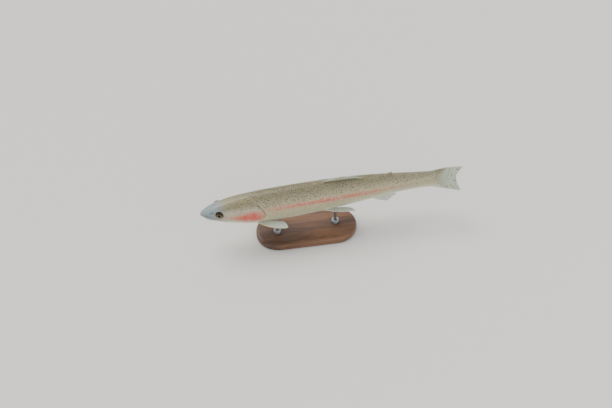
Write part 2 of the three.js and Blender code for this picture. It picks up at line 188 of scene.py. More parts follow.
def within(outline, x, z):
    """How far each point is inside a closed outline, negative outside it."""
    odd = np.zeros(np.shape(x), bool)
    for (ax, az), (bx, bz) in zip(outline[:-1], outline[1:]):
        if az != bz:
            crosses = (az > z) != (bz > z)
            odd ^= crosses & (x < ax + (z - az) * (bx - ax) / (bz - az))
    return np.where(odd, 1, -1) * away(outline, x, z)


# ---- The straight body and its bend ----
ROOTS = np.sqrt(STATIONS[:, 0])
top_size, bottom_size, side_size = (spline(ROOTS, STATIONS[:, i] * LENGTH) for i in (1, 2, 3))


def heading(along):
    at = np.clip(along / LENGTH, 0, 1)
    return np.radians(SWING["scale"] * at * (SWING["turns_back_at"] - at) * (1 + SWING["whip"] * at))


_middles = (np.arange(SPINE_STEPS) + 0.5) * LENGTH / SPINE_STEPS
AXIS_AT = np.linspace(0, LENGTH, SPINE_STEPS + 1)
AXIS_X = np.concatenate([[0], np.cumsum(np.cos(heading(_middles)))]) * LENGTH / SPINE_STEPS
AXIS_Y = np.concatenate([[0], np.cumsum(np.sin(heading(_middles)))]) * LENGTH / SPINE_STEPS
_balance = round(BALANCE_AT * SPINE_STEPS)
MIDDLE = (AXIS_X[_balance], AXIS_Y[_balance])


def place(along, lateral, up):
    """Carries points of the straight fish to their places on the bent one, in mm."""
    along, lateral, up = np.broadcast_arrays(*(np.asarray(v, float) for v in (along, lateral, up)))
    share = np.clip(along, 0, LENGTH)
    turn = heading(share)
    over = along - share
    x = np.interp(share, AXIS_AT, AXIS_X) - MIDDLE[0] + over * np.cos(turn) - lateral * np.sin(turn)
    y = np.interp(share, AXIS_AT, AXIS_Y) - MIDDLE[1] + over * np.sin(turn) + lateral * np.cos(turn)
    return np.stack([x, y, AXIS_HEIGHT + up], -1)


def half_height(at, up):
    """The body's height above its axis, or below it where up is negative."""
    root = np.sqrt(np.maximum(at, 0))
    return np.where(np.asarray(up) > 0, top_size(root), bottom_size(root))


def squareness(at, up):
    head = np.where(up > 0, SQUARENESS["head_top"], SQUARENESS["head_throat"])
    return mixed(head, SQUARENESS["trunk"], ramp(0, SQUARENESS["head_ends_at"], at))


def section(at, turn):
    """Lateral and height of the body's surface. Turn 0 is its right side, a quarter turn its back."""
    across, up = np.cos(turn), np.sin(turn)
    power = 2 / squareness(at, up)
    lateral = side_size(np.sqrt(np.maximum(at, 0))) * np.sign(across) * np.abs(across) ** power
    return lateral, half_height(at, up) * np.sign(up) * np.abs(up) ** power


# ---- Relief: how far the skin stands out of, or sinks into, the smooth body ----
GILL_LINE, GAPE_LINE, CHEEK_LINE, FRONT_LINE, COVER_LINE, LOWER_LINE = (
    smooth_line(points) for points in (GILL_EDGE, GAPE, CHEEK_EDGE, CHEEK_FRONT, COVER_SUTURE, LOWER_SUTURE)
)
JAW_OUTLINE, STRIP_OUTLINE = (smooth_line(points, closed=True) for points in (UPPER_JAW, JAW_STRIP))
GILL_SLIT = (-45, 24)  # the gill opening's lowest and highest point above the axis
RELIEF_ENDS = 135.0  # mm behind the snout: the body is plain further back
COVER_PROUD = 0.4  # the gill cover's edge stands this far off the head
SLIT_DEPTH = 0.95
RIBS_FROM = (58, 10)  # where the gill cover's ribs fan out from
EYE_BONE_JOINTS = (-12, -42, -75, 15)  # degrees round the eye
# Lines on the head, each with the humps across it: how far out, where and how wide. Then the painted shade
# along it.
FOLDS = [
    (CHEEK_LINE, [(-0.4, 0, 0.55), (0.25, 2.2, 1.5)], (0.3, 0, 0.4)),
    (FRONT_LINE, [(-0.22, 0, 0.7)], (0.12, 0, 0.5)),
    (COVER_LINE, [(-0.22, 0, 0.5)], (0.2, 0, 0.4)),
    (LOWER_LINE, [(-0.22, 0, 0.5)], (0.2, 0, 0.4)),
]


def humps(gap, *shapes):
    """The sum of smooth humps, each given by its height, its place and its half width."""
    return sum(height * bell(gap - middle, width) for height, middle, width in shapes)


def gill_edge_at(up):
    order = np.argsort(GILL_LINE[:, 1])
    return np.interp(up, GILL_LINE[order, 1], GILL_LINE[order, 0])


def behind_gills(along, up):
    """Distance behind the gill cover's edge, negative in front of it."""
    return np.sign(along - gill_edge_at(up)) * away(GILL_LINE, along, up)


def belly_angle(along, lateral, up):
    """Degrees round from the belly's ridge, seen on a section as round as a circle."""
    root = np.sqrt(np.clip(along, 1e-3, BODY_END * LENGTH) / LENGTH)
    return np.degrees(np.arctan2(np.abs(lateral) / side_size(root), -up / bottom_size(root)))


def throat_line(along):
    """The belly angle at which the gill membranes meet the throat."""
    return mixed(2, 13, ramp(48, 88, along))


def gill_slit(along, lateral, up):
    """1 where the gill cover's edge is free, 0 where it has grown to the body."""
    low, high = GILL_SLIT
    side = ramp(low, low + 6, up) * ramp(high, high - 7, up)
    return side * ramp(-1, 2.5, belly_angle(along, lateral, up) - throat_line(along))


# Each of the next five gives mm out of the smooth body, and how much painted shade darkens the place, in
# its creases, slits and pits.
def mouth_relief(along, _, up):
    gape = away(GAPE_LINE, along, up)
    jaw, strip = (within(outline, along, up) for outline in (JAW_OUTLINE, STRIP_OUTLINE))
    above = ramp(-0.3, 0.5, up - np.interp(along, *GAPE_LINE.T))
    outward = humps(gape, (-1.4, 0, 0.5))
    outward += ramp(34, 8, along) * humps(gape, (0.5, 1.7, 0.95), (-0.2, 3.6, 0.6))
    outward += 0.6 * ramp(-0.4, 0.4, jaw) + humps(jaw, (0.2, 0.7, 0.6))
    outward += above * humps(jaw, (-0.35, -0.7, 0.5)) + 0.22 * ramp(-0.3, 0.4, strip)
    # Painted shade along the gape, under the upper jaw's edge and round the jaw strip.
    painted_shade = humps(gape, (1, 0, 0.5)) + above * humps(jaw, (0.5, -0.6, 0.4))
    return outward, painted_shade + humps(strip, (0.3, -0.2, 0.3))


def eye_relief(along, _, up):
    """The lids, and the joints of the bones under the eye, which run out from it like spokes."""
    x, z = along - EYE["along"], up - EYE["up"]
    far = np.hypot(x, z)
    gap = far - EYE_SHOWS
    outward = humps(gap, (0.55, 0.7, 0.7), (-0.2, 2.9, 0.5)) - 3.4 * ramp(0.1, -1.2, gap)
    outward += ramp(-2, 5, z) * humps(gap, (0.5, 1.6, 1.8))
    spoke = np.degrees(np.arctan2(z, x))
    ring = ramp(9, 11, far) * ramp(21, 16, far)
    for angle in EYE_BONE_JOINTS:
        outward -= 0.12 * ring * bell(np.abs(spoke - angle) * far / 57, 0.45)
    # Painted shade at the eye's rim and in the groove round the lids.
    return outward, humps(gap, (0.9, -0.1, 0.4), (0.2, 2.9, 0.45))


def fold_relief(along, lateral, up):
    """The nostrils, the seams of the bones, and a furrow between two ridges on top of the skull."""
    roof = ramp(12, 22, along) * ramp(92, 80, along) * (up > 0)
    outward = roof * (humps(np.abs(lateral), (0.14, 3.6, 1.8)) - humps(lateral, (0.1, 0, 1.4)))
    # Painted shade in the nostrils' pits and along the seams of the bones.
    painted_shade = 0.0
    for at, height, long, high in NOSTRILS:
        pit = np.hypot((along - at) / long, (up - height) / high)
        outward += humps(pit, (0.3, 1.4, 0.35)) - 1.2 * ramp(1.1, 0.5, pit)
        painted_shade += ramp(1.1, 0.75, pit)
    for line, out, dark in FOLDS:
        gap = away(line, along, up)
        outward += humps(gap, *out)
        painted_shade += humps(gap, dark)
    return outward, painted_shade


def gill_relief(along, lateral, up):
    """The gill cover's fine ribs, its free edge and the slit behind it."""
    edge, slit = behind_gills(along, up), gill_slit(along, lateral, up)
    ribs = np.cos(46 * np.arctan2(up - RIBS_FROM[1], along - RIBS_FROM[0]) + 2 * np.sin(along * 0.21))
    on_cover = ramp(68, 76, along) * ramp(-0.5, -6, edge) * ramp(18, 10, up)
    proud = COVER_PROUD * ramp(-34, -6, edge) * (edge < 0) + humps(edge, (-0.12, -3, 0.5))
    shoulder = SLIT_DEPTH * np.exp(-np.clip(edge - 0.4, 0, None) / 2.6) * (edge >= 0)
    # Painted shade under the gill cover's free edge and in the slit behind it.
    dark = humps(edge, (0.15, -3, 0.5)) + (edge >= 0) * bell(edge, 1.1)
    return 0.035 * on_cover * ribs + slit * (proud - shoulder), slit * dark


def throat_relief(along, lateral, up):
    """Under the head: the two jaw bones, and the rays of the membranes that close the gills below."""
    edge, belly = behind_gills(along, up), belly_angle(along, lateral, up)
    jaw_line = mixed(18, 52, ramp(4, 42, along))
    jaw_gap = bell((belly - jaw_line) * 0.43, 0.9) * ramp(15, 28, along) * ramp(46, 38, along)
    rays = ramp(44, 54, along) * ramp(1, -3, edge)
    rays *= ramp(8, 14, belly) * ramp(54, 44, belly)
    waves = np.cos(2 * np.pi * (belly - 10 + (along - 60) * 0.12) / 4.4) - 0.3
    meeting = ramp(44, 50, along) * (edge < 1) * bell((belly - throat_line(along)) * 0.5, 0.5)
    # Painted shade in the groove between the jaw bones and where the gill membranes meet the throat.
    return 0.24 * rays * waves - 0.5 * jaw_gap - 0.8 * meeting, 0.2 * jaw_gap + 0.6 * meeting


def head_relief(along, lateral, up):
    kinds = (mouth_relief, eye_relief, fold_relief, gill_relief, throat_relief)
    outward, painted_shade = (sum(part) for part in zip(*(relief(along, lateral, up) for relief in kinds)))
    fade = ramp(RELIEF_ENDS, RELIEF_ENDS - 12, along)
    return outward * fade, np.clip(painted_shade, 0, 1) * fade


FIN_FEET = [(0.435, 0.57, 1), (0.69, 0.715, 1), (0.63, 0.72, -1)]  # from, to, back or belly
VENT_AT = 0.622


def body_relief(at, lateral, up):
    """mm out of the smooth body all along the fish: flesh at the fins' feet, and the vent."""
    outward = np.zeros(np.shape(at))
    for start, end, ridge in FIN_FEET:
        foot = ramp(start - 0.02, start + 0.02, at) * ramp(end + 0.02, end - 0.01, at)
        outward += 0.7 * foot * bell(lateral, 3.5) * (np.sign(up) == ridge)
    for name in ("pectoral", "pelvic"):
        plan = FINS[name]
        share = np.clip((at - plan["along"][0]) / (plan["along"][1] - plan["along"][0]), 0, 1)
        root = [mixed(*plan[key], share) for key in ("along", "lateral", "up")]
        gaps = [(at - root[0]) * LENGTH, np.abs(lateral) - root[1], up - root[2]]
        outward += 0.8 * bell(np.sqrt(sum(gap**2 for gap in gaps)), 4.5)
    vent = np.hypot((at - VENT_AT) * LENGTH / 2.4, lateral / 1.5)
    return outward + (up < 0) * humps(vent, (0.5, 1.4, 0.6), (-0.9, 0, 0.8))


def skin_point(at, turn, fixed=None):
    """Places on the skin, in mm, and how much painted shade darkens each one. fixed holds a relief and a
    painted shade for some of the points, where it isn't nan, with the share of them that counts."""
    nudge = 1e-4
    steps = ((at, turn), (at + nudge, turn), (at, turn + nudge))
    here, ahead, beside = (place(a * LENGTH, *section(a, t)) for a, t in steps)
    lateral, up = section(at, turn)
    outward = body_relief(at, lateral, up)
    painted_shade = np.zeros(np.shape(outward))
    on_head = at * LENGTH < RELIEF_ENDS
    if on_head.any():
        out, painted_shade[on_head] = head_relief(at[on_head] * LENGTH, lateral[on_head], up[on_head])
        outward[on_head] += out
    if fixed is not None:
        relief, dark, share = fixed
        outward = np.where(np.isnan(relief), outward, mixed(outward, relief, share))
        painted_shade = np.where(np.isnan(relief), painted_shade, mixed(painted_shade, dark, share))
    return here + unit(np.cross(beside - here, ahead - here)) * (outward - COAT)[..., None], painted_shade


# ---- Meshes ----
def signed_volume(points, faces):
    """Positive if the faces of a closed mesh turn outwards."""
    total = 0.0
    for group in faces:
        corner = points[group]
        for k in range(1, group.shape[1] - 1):
            total += np.einsum("ij,ij->", corner[:, 0], np.cross(corner[:, k], corner[:, k + 1])) / 6
    return total


def make_piece(name, points, faces, slot, material, nodes=(), attributes=(), on_corners=()):
    """A closed piece from points in mm and lists of faces, each an array with one face a row.
    on_corners names the attributes that hold a value for each corner of each face."""
    mesh = bpy.data.meshes.new(name)
    sizes = np.concatenate([np.full(len(f), f.shape[1]) for f in faces])
    corners = np.concatenate([f.ravel() for f in faces])
    mesh.vertices.add(len(points))
    mesh.vertices.foreach_set("co", (points * MM).astype(np.float32).ravel())
    mesh.loops.add(len(corners))
    mesh.loops.foreach_set("vertex_index", corners.astype(np.int32))
    mesh.polygons.add(len(sizes))
    mesh.polygons.foreach_set("loop_start", (np.cumsum(sizes) - sizes).astype(np.int32))
    mesh.update(calc_edges=True)
    mesh.polygons.foreach_set("use_smooth", np.ones(len(sizes), bool))
    for key, values in dict(attributes).items():
        values = values.astype(np.float32)
        if key == "OFBake":
            values = values if key in on_corners else values[corners]
            mesh.uv_layers.new(name=key).data.foreach_set("uv", values.ravel())
        else:
            domain = "CORNER" if key in on_corners else "POINT"
            mesh.attributes.new(key, "FLOAT_VECTOR", domain).data.foreach_set("vector", values.ravel())
    if signed_volume(points, faces) < 0:
        mesh.flip_normals()
    mesh.materials.append(material)
    piece = bpy.data.objects.new(name, mesh)
    bpy.context.scene.collection.objects.link(piece)
    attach(piece, "root")
    if nodes:
        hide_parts(*nodes)


def sheet_faces(grid, wrap=False):
    """Quads between the rows and columns of a grid of point numbers."""
    here, ahead = (grid, np.roll(grid, -1, 1)) if wrap else (grid[:, :-1], grid[:, 1:])
    return np.stack([here[:-1], ahead[:-1], ahead[1:], here[1:]], -1).reshape(-1, 4)


def fan_faces(ring, middle):
    """Triangles from a ring of point numbers to the point in its middle."""
    return np.stack([np.roll(ring, -1), ring, np.full(ring.shape, middle)], -1)


def ringed(rings, ends):
    """Points and faces of a closed solid: rings of points one after another, and a point at each end."""
    grid = np.arange(rings.shape[0] * rings.shape[1]).reshape(rings.shape[:2])
    faces = [sheet_faces(grid, wrap=True), fan_faces(grid[0], grid.size)]
    faces.append(fan_faces(grid[-1], grid.size + 1)[:, ::-1])
    return np.concatenate([rings.reshape(-1, 3), ends]), faces


# ---- Markings ----
STRIPE_RUN = [
    # mm behind the snout, strength
    (0, 0), (84, 0.1), (105, 0.3), (135, 0.75), (160, 1), (245, 1), (300, 0.75), (345, 0.35), (396, 0.1),
]
# Red patches on the head: middle and half sizes in mm along and up, strength, where each fades.
BLUSHES = [(84, -5.5, 26, 15, 1, (1.25, 0.45)), (58, -2.5, 17, 6, 0.6, (1.3, 0.3))]


def markings(along, lateral, up, girth, painted_shade):
    """Attributes that the skin's and the scales' materials read.
    zones: back, stripe, belly. face: head, blush, painted shade. lie: along, round from the back, height."""
    at = np.clip(along, 0, BODY_END * LENGTH) / LENGTH
    half = half_height(at, up).clip(0.5)
    angle = np.degrees(np.arctan2(up / half, np.abs(lateral) / side_size(np.sqrt(at)).clip(0.5)))
    middle = mixed(13, 5, ramp(150, 330, along))
    width = mixed(8.2, 9.6, ramp(180, 330, along))
    stripe = bell(angle - middle, width) * np.interp(along, *zip(*STRIPE_RUN))
    head = ramp(1.5, -1.0, behind_gills(along, up)) * (along < RELIEF_ENDS)
    blush = sum(
        strength * ramp(*fade, np.hypot((along - x) / long, (up - z) / tall)) * head
        for x, z, long, tall, strength, fade in BLUSHES
    )
    return {
        "zones": np.stack([ramp(10, 66, angle), stripe, ramp(-8, -62, angle)], -1),
        "face": np.stack([head, np.clip(blush, 0, 1), painted_shade], -1),
        "lie": np.stack([along, girth, up / half], -1),
    }


def girth_from_back(at, turn):
    """mm round the body from the ridge of the back, positive on the right."""
    from_back = np.mod(np.pi / 2 - turn + np.pi, 2 * np.pi) - np.pi
    angles = np.pi / 2 - from_back[..., None] * np.linspace(0, 1, 25)
    lateral, up = section(np.broadcast_to(at[..., None], angles.shape), angles)
    run = np.hypot(np.diff(lateral, axis=-1), np.diff(up, axis=-1)).sum(-1)
    return run * np.sign(from_back)


UNWRAP = (410.0, 190.0)  # mm along and round the body that the bake map's sides stand for


def unwrapped(along, girth):
    return np.stack([0.01 + along / UNWRAP[0], 0.5 + girth / UNWRAP[1]], -1)


# ---- Skin ----
HEAD_RINGS, HEAD_SIDES, HEAD_SKIN_END = 165, 360, 0.27
SHOULDER_RINGS, BODY_RINGS = 24, 120
HEAD_RING_CROWDING = 1.2
TAIL_SKIN_END = BODY_END + 0.002
# Rings round the gill cover's free edge: mm behind it where it's grown on, the same where it's free,
# mm out of the body, and the painted shade under the rim. The cover's rim rounds over, turns under itself
# and meets the shoulder.
FLAP = np.array([
    (-1.3, -1.3, np.nan, 0), (-0.7, -0.7, np.nan, 0), (-0.32, -0.3, COVER_PROUD, 0.05),
    (-0.14, -0.1, COVER_PROUD - 0.08, 0.1), (0.0, 0.0, COVER_PROUD - 0.3, 0.35),
    (0.1, -0.06, -0.1, 0.9), (0.2, -0.5, -0.3, 1), (0.3, -0.8, -0.7, 1), (0.4, -0.2, -1.0, 1),
    (0.6, 0.5, np.nan, 0), (1.2, 1.2, np.nan, 0), (2.4, 2.4, np.nan, 0),
])
BEFORE_FLAP, BEHIND_FLAP = 2.0, 2.4  # mm between the gill cover's edge and the rings that aren't FLAP's


def turn_at(at, up, right):
    """The turn round the body at which its surface has a height, on one side of the fish."""
    share = np.clip(np.abs(up) / half_height(at, up), 0, 1)
    rise = np.arcsin(np.sign(up) * share ** (squareness(at, up) / 2))
    return np.where(right, rise, np.pi - rise)


def drawn_to_lines(at, turn):
    """Moves grid points towards the eye's rim and the mouth, so that the mesh is finest there."""
    lateral, up = section(at, turn)
    along = at * LENGTH
    eye = np.hypot(along - EYE["along"], up - EYE["up"]).clip(1e-6)
    gap = eye - EYE_SHOWS
    ratio = (EYE_SHOWS + gap * (1 - 0.75 * bell(gap, 1.6))) / eye
    new_along, new_up = mixed(EYE["along"], along, ratio), mixed(EYE["up"], up, ratio)
    gap, line_along, line_up = nearest(GAPE_LINE, new_along, new_up)
    kept = 1 - 0.7 * bell(gap, 1.2)
    new_along, new_up = mixed(line_along, new_along, kept), mixed(line_up, new_up, kept)
    moved = (np.hypot(new_along - along, new_up - up) > 1e-3) & (along > 3)
    new_at = np.where(moved, new_along / LENGTH, at)
    return new_at, np.where(moved, turn_at(new_at, new_up, lateral > 0), turn)


def circle(sides):
    return np.arange(sides) / sides * 2 * np.pi


def head_grid():
    """Shares along and turns of the head's points, ring by ring, and the relief that FLAP fixes."""
    turn = circle(HEAD_SIDES)
    edge = np.full(HEAD_SIDES, 95.0)  # a first guess, which settles
    for _ in range(20):
        lateral, up = section(edge / LENGTH, turn)
        edge = gill_edge_at(up)
    free = gill_slit(edge, lateral, up)
    ahead, behind = ((np.arange(1, n + 1) / n)[:, None] for n in (HEAD_RINGS, SHOULDER_RINGS))
    along = np.concatenate([
        (edge - BEFORE_FLAP) * ahead**HEAD_RING_CROWDING,
        edge + mixed(FLAP[:, :1], FLAP[:, 1:2], free),
        mixed(edge + BEHIND_FLAP, HEAD_SKIN_END * LENGTH, behind),
    ])
    relief, dark = (np.full(along.shape, np.nan) for _ in range(2))
    flap = slice(HEAD_RINGS, HEAD_RINGS + len(FLAP))
    relief[flap], dark[flap] = FLAP[:, 2:3], FLAP[:, 3:4]
    at, turn = along / LENGTH, np.tile(turn, (len(along), 1))
    at[:HEAD_RINGS], turn[:HEAD_RINGS] = drawn_to_lines(at[:HEAD_RINGS], turn[:HEAD_RINGS])
    return at, turn, (relief, dark, np.broadcast_to(free, along.shape))


def body_grid():
    at = np.linspace(HEAD_SKIN_END, TAIL_SKIN_END, BODY_RINGS + 1)[1:]
    return *np.meshgrid(at, circle(HEAD_SIDES // 2), indexing="ij"), None


def opened(lie, faces):
    """The lie for each corner of each face. It is cut open along the belly."""
    lie = lie[faces]
    girth = lie[..., 1]
    crosses = (girth.max(1) > 8) & (girth.min(1) < -8)
    crosses &= np.abs(girth).min(1) > 0.8 * np.abs(girth).max(1)
    total = 2 * np.abs(girth).max(1, keepdims=True)
    lie[..., 1] = np.where(crosses[:, None] & (girth < 0), girth + total, girth)
    return lie.reshape(-1, 3)


def build_skin(material):
    points, marks, grids, count = [], [], [], 0
    for at, turn, fixed in (head_grid(), body_grid()):
        places, painted_shade = skin_point(at, turn, fixed)
        made = markings(at * LENGTH, *section(at, turn), girth_from_back(at, turn), painted_shade)
        points.append(places.reshape(-1, 3))
        marks.append({key: values.reshape(-1, 3) for key, values in made.items()})
        grids.append(count + np.arange(at.size).reshape(at.shape))
        count += at.size
    points.append(place(np.array([COAT, TAIL_SKIN_END * LENGTH]), 0.0, 0.0))
    marks.append({
        "zones": [[0.5, 0, 0], [0, 0, 0]],
        "face": [[1, 0, 0], [0, 0, 0]],
        "lie": [[0, 0, 0], [TAIL_SKIN_END * LENGTH, 0, 0]],
    })
    faces = [sheet_faces(grid, wrap=True) for grid in grids]
    # Two columns of the head meet each column of the body.
    ring, coarse = grids[0][-1], grids[1][0]
    even, odd, later = ring[0::2], ring[1::2], np.roll(ring, -2)[0::2]
    following = np.roll(coarse, -1)
    seams = [(even, odd, coarse), (odd, following, coarse), (odd, later, following)]
    faces += [np.stack(seam, -1) for seam in seams]
    faces += [fan_faces(grids[0][0], count), fan_faces(grids[1][-1], count + 1)[:, ::-1]]
    attributes = {key: np.concatenate([part[key] for part in marks]) for key in marks[0]}
    attributes["lie"] = np.concatenate([opened(attributes["lie"], group) for group in faces])
    attributes["OFBake"] = unwrapped(attributes["lie"][:, 0], attributes["lie"][:, 1])
    flesh = ("head", "lower_jaw", "upper_jaw_left", "upper_jaw_right")
    flesh += ("gill_cover_left", "gill_cover_right", "trunk", "tail_stalk")
    by_corner = ("lie", "OFBake")
    make_piece("skin", np.concatenate(points), faces, "skin", material, flesh, attributes, by_corner)


# ---- Scales ----
SCALE_ROWS = 63  # scales round the body in one column
SCALE_STEP = 1.25  # mm from one column to the next, where the body is deepest
DEEPEST_AT = 0.34
SCALE_LONG, SCALE_WIDE = 3.1, 1.16  # a scale's size over the steps along and round
SCALE_ROOT, SCALE_LIFT = -0.12, 0.34  # heights of its root, and from there to its rear edge
SCALE_THICK, SCALE_DOME = 0.1, 0.09
COLUMNS_FROM, COLUMNS_TO = 0.15, 0.93  # shares of LENGTH, past both ends of the coat
SCALES_START = (0.8, -4)  # mm behind the gill cover's edge, on the flanks and on the nape
SCALES_END = (0.893, 0.918)  # shares of LENGTH, on the middle of the tail and on its edges
END_RAGGED, END_FADES = 0.0015, 0.012  # shares of LENGTH
SCALES_GROW_OVER = 9.0  # mm over which they rise out of the skin behind the head
SCALE_PIECES = 5
SCALE_MIDDLE = 1.6  # mm behind its root
VENT_CLEAR = 3.4  # mm round the vent that have no scales
OVER_FIN = 0.1  # mm from the tail fin's side to the coat that runs onto it
BAKE_PATCH = 0.003  # how wide a scale is on the bake map
LINE_RUN = [(101, 0.42), (130, 0.3), (180, 0.2), (300, 0.1), (400, 0.03)]  # mm, share of half height
LINE_STEP = 2.25
FLAP_TURN = 0.74  # how far the pelvic fins' flaps are below the axis, as a turn


def scale_template():
    """A scale's points: along from its root, across, share of the way under, all in shares.
    Then its triangles. The upper and the lower face meet in front, where the skin hides them."""
    arc = np.radians(np.linspace(-90, 90, 9))
    rear = np.stack([0.44 + 0.56 * np.cos(arc), 0.5 * np.sin(arc)], -1)
    front = np.array([(0.18, 0.36), (0.0, 0.0), (0.18, -0.36)])
    middle = np.array([(0.3, 0.0), (0.58, 0.2), (0.58, -0.2), (0.84, 0.0)])
    flat = np.concatenate([rear, front, middle, rear[1:-1]])
    f, a, b, r = 12, 13, 14, 15  # the middle's points
    upper = [
        (0, 1, b), (1, 2, b), (2, 3, b), (3, r, b), (3, 4, r), (4, 5, r), (5, a, r), (5, 6, a),
        (6, 7, a), (7, 8, a), (8, 9, a), (9, f, a), (9, 10, f), (10, 11, f), (11, b, f), (11, 0, b),
        (a, f, b), (a, b, r),
    ]
    below = [0, *range(16, 23), 8, 9, 10, 11]
    lower = [(below[0], below[k + 1], below[k]) for k in range(1, 11)]
    sides = []
    for p, q, low_p, low_q in zip(range(8), range(1, 9), below, below[1:]):
        sides += [t for t in ((p, low_p, low_q), (p, low_q, q)) if len(set(t)) == 3]
    return flat, np.arange(len(flat)) >= 16, np.array(upper + lower + sides)


def coat_point(at, turn):
    """The skin, carried on over the foot of the tail fin."""
    places, _ = skin_point(np.minimum(at, BODY_END), turn)
    beyond = at > BODY_END
    if beyond.any():
        f, right = (1 - np.sin(turn[beyond])) / 2, np.sign(np.cos(turn[beyond]))
        _, length = tail_middle(f, 0.0)

        def fin_side(share):
            middle, _ = tail_middle(f, share)
            out = MEMBRANE + OVER_FIN + tail_flesh(f) * (1 - share) ** TAIL["fading"]
            return place(middle[:, 0], middle[:, 1] + right * out, middle[:, 2])

        share = (at[beyond] - BODY_END) * LENGTH / length
        places[beyond] = fin_side(share) + (places[beyond] - fin_side(0.0)) * (1 - share)[:, None] ** 3
    return places


def lay_plates(at, turn, long, wide, root, lift, dome, thick, painted_shade=0.0):
    """Points and attributes of thin plates that lie on the coat, one for each place given."""
    tilt, own = rng.uniform(-0.06, 0.06, len(at))[:, None], rng.uniform(0, 1, len(at))[:, None]
    sizes = (long, wide, root, lift, dome)
    long, wide, root, lift, dome = (np.broadcast_to(size, at.shape)[:, None] for size in sizes)
    nudge = 5e-4
    here, ahead, beside = coat_point(at, turn), coat_point(at + nudge, turn), coat_point(at, turn + nudge)
    per_turn = np.linalg.norm(beside - here, axis=-1) / nudge
    back = unit(ahead - here)
    normal = unit(np.cross(beside - here, back))
    across = np.cross(normal, back)
    shape, under, triangles = scale_template()
    x = shape[:, 0] * long
    y = shape[:, 1] * wide + tilt * x
    z = root + lift * shape[:, 0] + dome * (1 - (2 * shape[:, 1]) ** 2) * shape[:, 0] - thick * under
    points = here[:, None] + sum(
        axis[:, None] * size[..., None] for axis, size in ((back, x), (across, y), (normal, z))
    )
    girth = girth_from_back(np.minimum(at, BODY_END), turn)
    all_at = at[:, None] + x / LENGTH
    around = section(np.minimum(all_at, BODY_END), turn[:, None] - y / per_turn[:, None])
    marks = markings(all_at * LENGTH, *around, girth[:, None] + y, np.full(all_at.shape, painted_shade))
    patch = BAKE_PATCH * np.stack([shape[:, 0] - 0.5, shape[:, 1]], -1)
    return {
        **marks,
        "points": points,
        "plate": np.stack(np.broadcast_arrays(shape[:, 0], 2 * shape[:, 1], own), -1),
        "OFBake": unwrapped(at * LENGTH, girth)[:, None] + patch,
    }, triangles


def make_plates(name, laid, triangles, material, chosen=slice(None)):
    laid = {key: values[chosen] for key, values in laid.items()}
    count, corners = laid["points"].shape[:2]
    faces = (np.arange(count) * corners)[:, None, None] + triangles
    laid = {key: values.reshape(-1, values.shape[-1]) for key, values in laid.items()}
    make_piece(name, laid.pop("points"), [faces.reshape(-1, 3)], "skin", material, attributes=laid)


def column_step(at):
    """mm from one column of scales to the next: they get smaller towards the tail."""
    depth = half_height(np.minimum(at, BODY_END), 1) / half_height(DEEPEST_AT, 1)
    return SCALE_STEP * np.minimum(1.0, depth) ** 0.55


def build_scales(material):
    columns = [COLUMNS_FROM]
    while columns[-1] < COLUMNS_TO:
        columns.append(columns[-1] + float(column_step(columns[-1])) / LENGTH)
    number, row = np.meshgrid(np.arange(len(columns) - 1), np.arange(SCALE_ROWS), indexing="ij")
    at = np.array(columns)[number.ravel()]
    round_step = 2 * np.pi / SCALE_ROWS
    turn = (row + 0.5 * (number % 2)).ravel() / SCALE_ROWS * 2 * np.pi
    step = column_step(at)
    at = at + rng.uniform(-0.1, 0.1, len(at)) * step / LENGTH
    turn = turn + rng.uniform(-0.05, 0.05, len(at)) * round_step
    lateral, up = section(np.minimum(at, BODY_END), turn)
    nape = ramp(0.6, 1.0, up / half_height(np.minimum(at, BODY_END), 1))
    start = behind_gills(at * LENGTH, up) - mixed(*SCALES_START, nape)
    end = mixed(*SCALES_END, np.sin(turn) ** 2) + rng.uniform(-END_RAGGED, END_RAGGED, len(at))
    at_vent = (np.hypot((at - VENT_AT) * LENGTH + SCALE_MIDDLE, lateral) < VENT_CLEAR) & (up < 0)
    keep = (start > 0) & (at < end) & ~at_vent
    at, turn, step, start, end = (v[keep] for v in (at, turn, step, start, end))
    grown = ramp(0, SCALES_GROW_OVER, start) * ramp(0, END_FADES, end - at)
    size = step / SCALE_STEP * mixed(0.35, 1, grown)
    beside = np.linalg.norm(coat_point(at, turn + 1e-3) - coat_point(at, turn), axis=-1) / 1e-3
    laid, triangles = lay_plates(
        at, turn, long=step * SCALE_LONG * rng.uniform(0.95, 1.05, len(at)),
        wide=beside * round_step * SCALE_WIDE, root=SCALE_ROOT - 0.06 * (1 - grown),
        lift=SCALE_LIFT * size, dome=SCALE_DOME * size, thick=SCALE_THICK,
    )
    order = np.argsort(at, kind="stable")
    for number, chosen in enumerate(np.array_split(order, SCALE_PIECES), 1):
        make_plates(f"scales_{number}", laid, triangles, material, chosen)


def build_lateral_line(material):
    """A row of small tubes along each flank, one on each scale."""
    at = np.arange(LINE_RUN[0][0], BODY_END * LENGTH + 2, LINE_STEP) / LENGTH
    rise = np.arcsin(np.interp(at * LENGTH, *zip(*LINE_RUN)))
    at, turn = np.tile(at, 2), np.concatenate([rise, np.pi - rise])
    sizes = {"long": 2.1, "wide": 0.62, "root": 0.08, "lift": 0.14, "dome": 0.16, "thick": 0.2}
    # The tubes are darkened by painted shade, 0.3 of the full amount.
    make_plates("lateral_line", *lay_plates(at, turn, **sizes, painted_shade=0.3), material)


def build_fin_flaps(material):
    """The pointed flap of skin above the root of each pelvic fin."""
    at = np.full(2, FINS["pelvic"]["along"][0] + 0.004)
    turn = np.array([-FLAP_TURN, np.pi + FLAP_TURN])
    sizes = {"long": 15, "wide": 3.6, "root": -0.3, "lift": 1.5, "dome": 0.7, "thick": 0.5}
    make_plates("pelvic_flaps", *lay_plates(at, turn, **sizes), material)


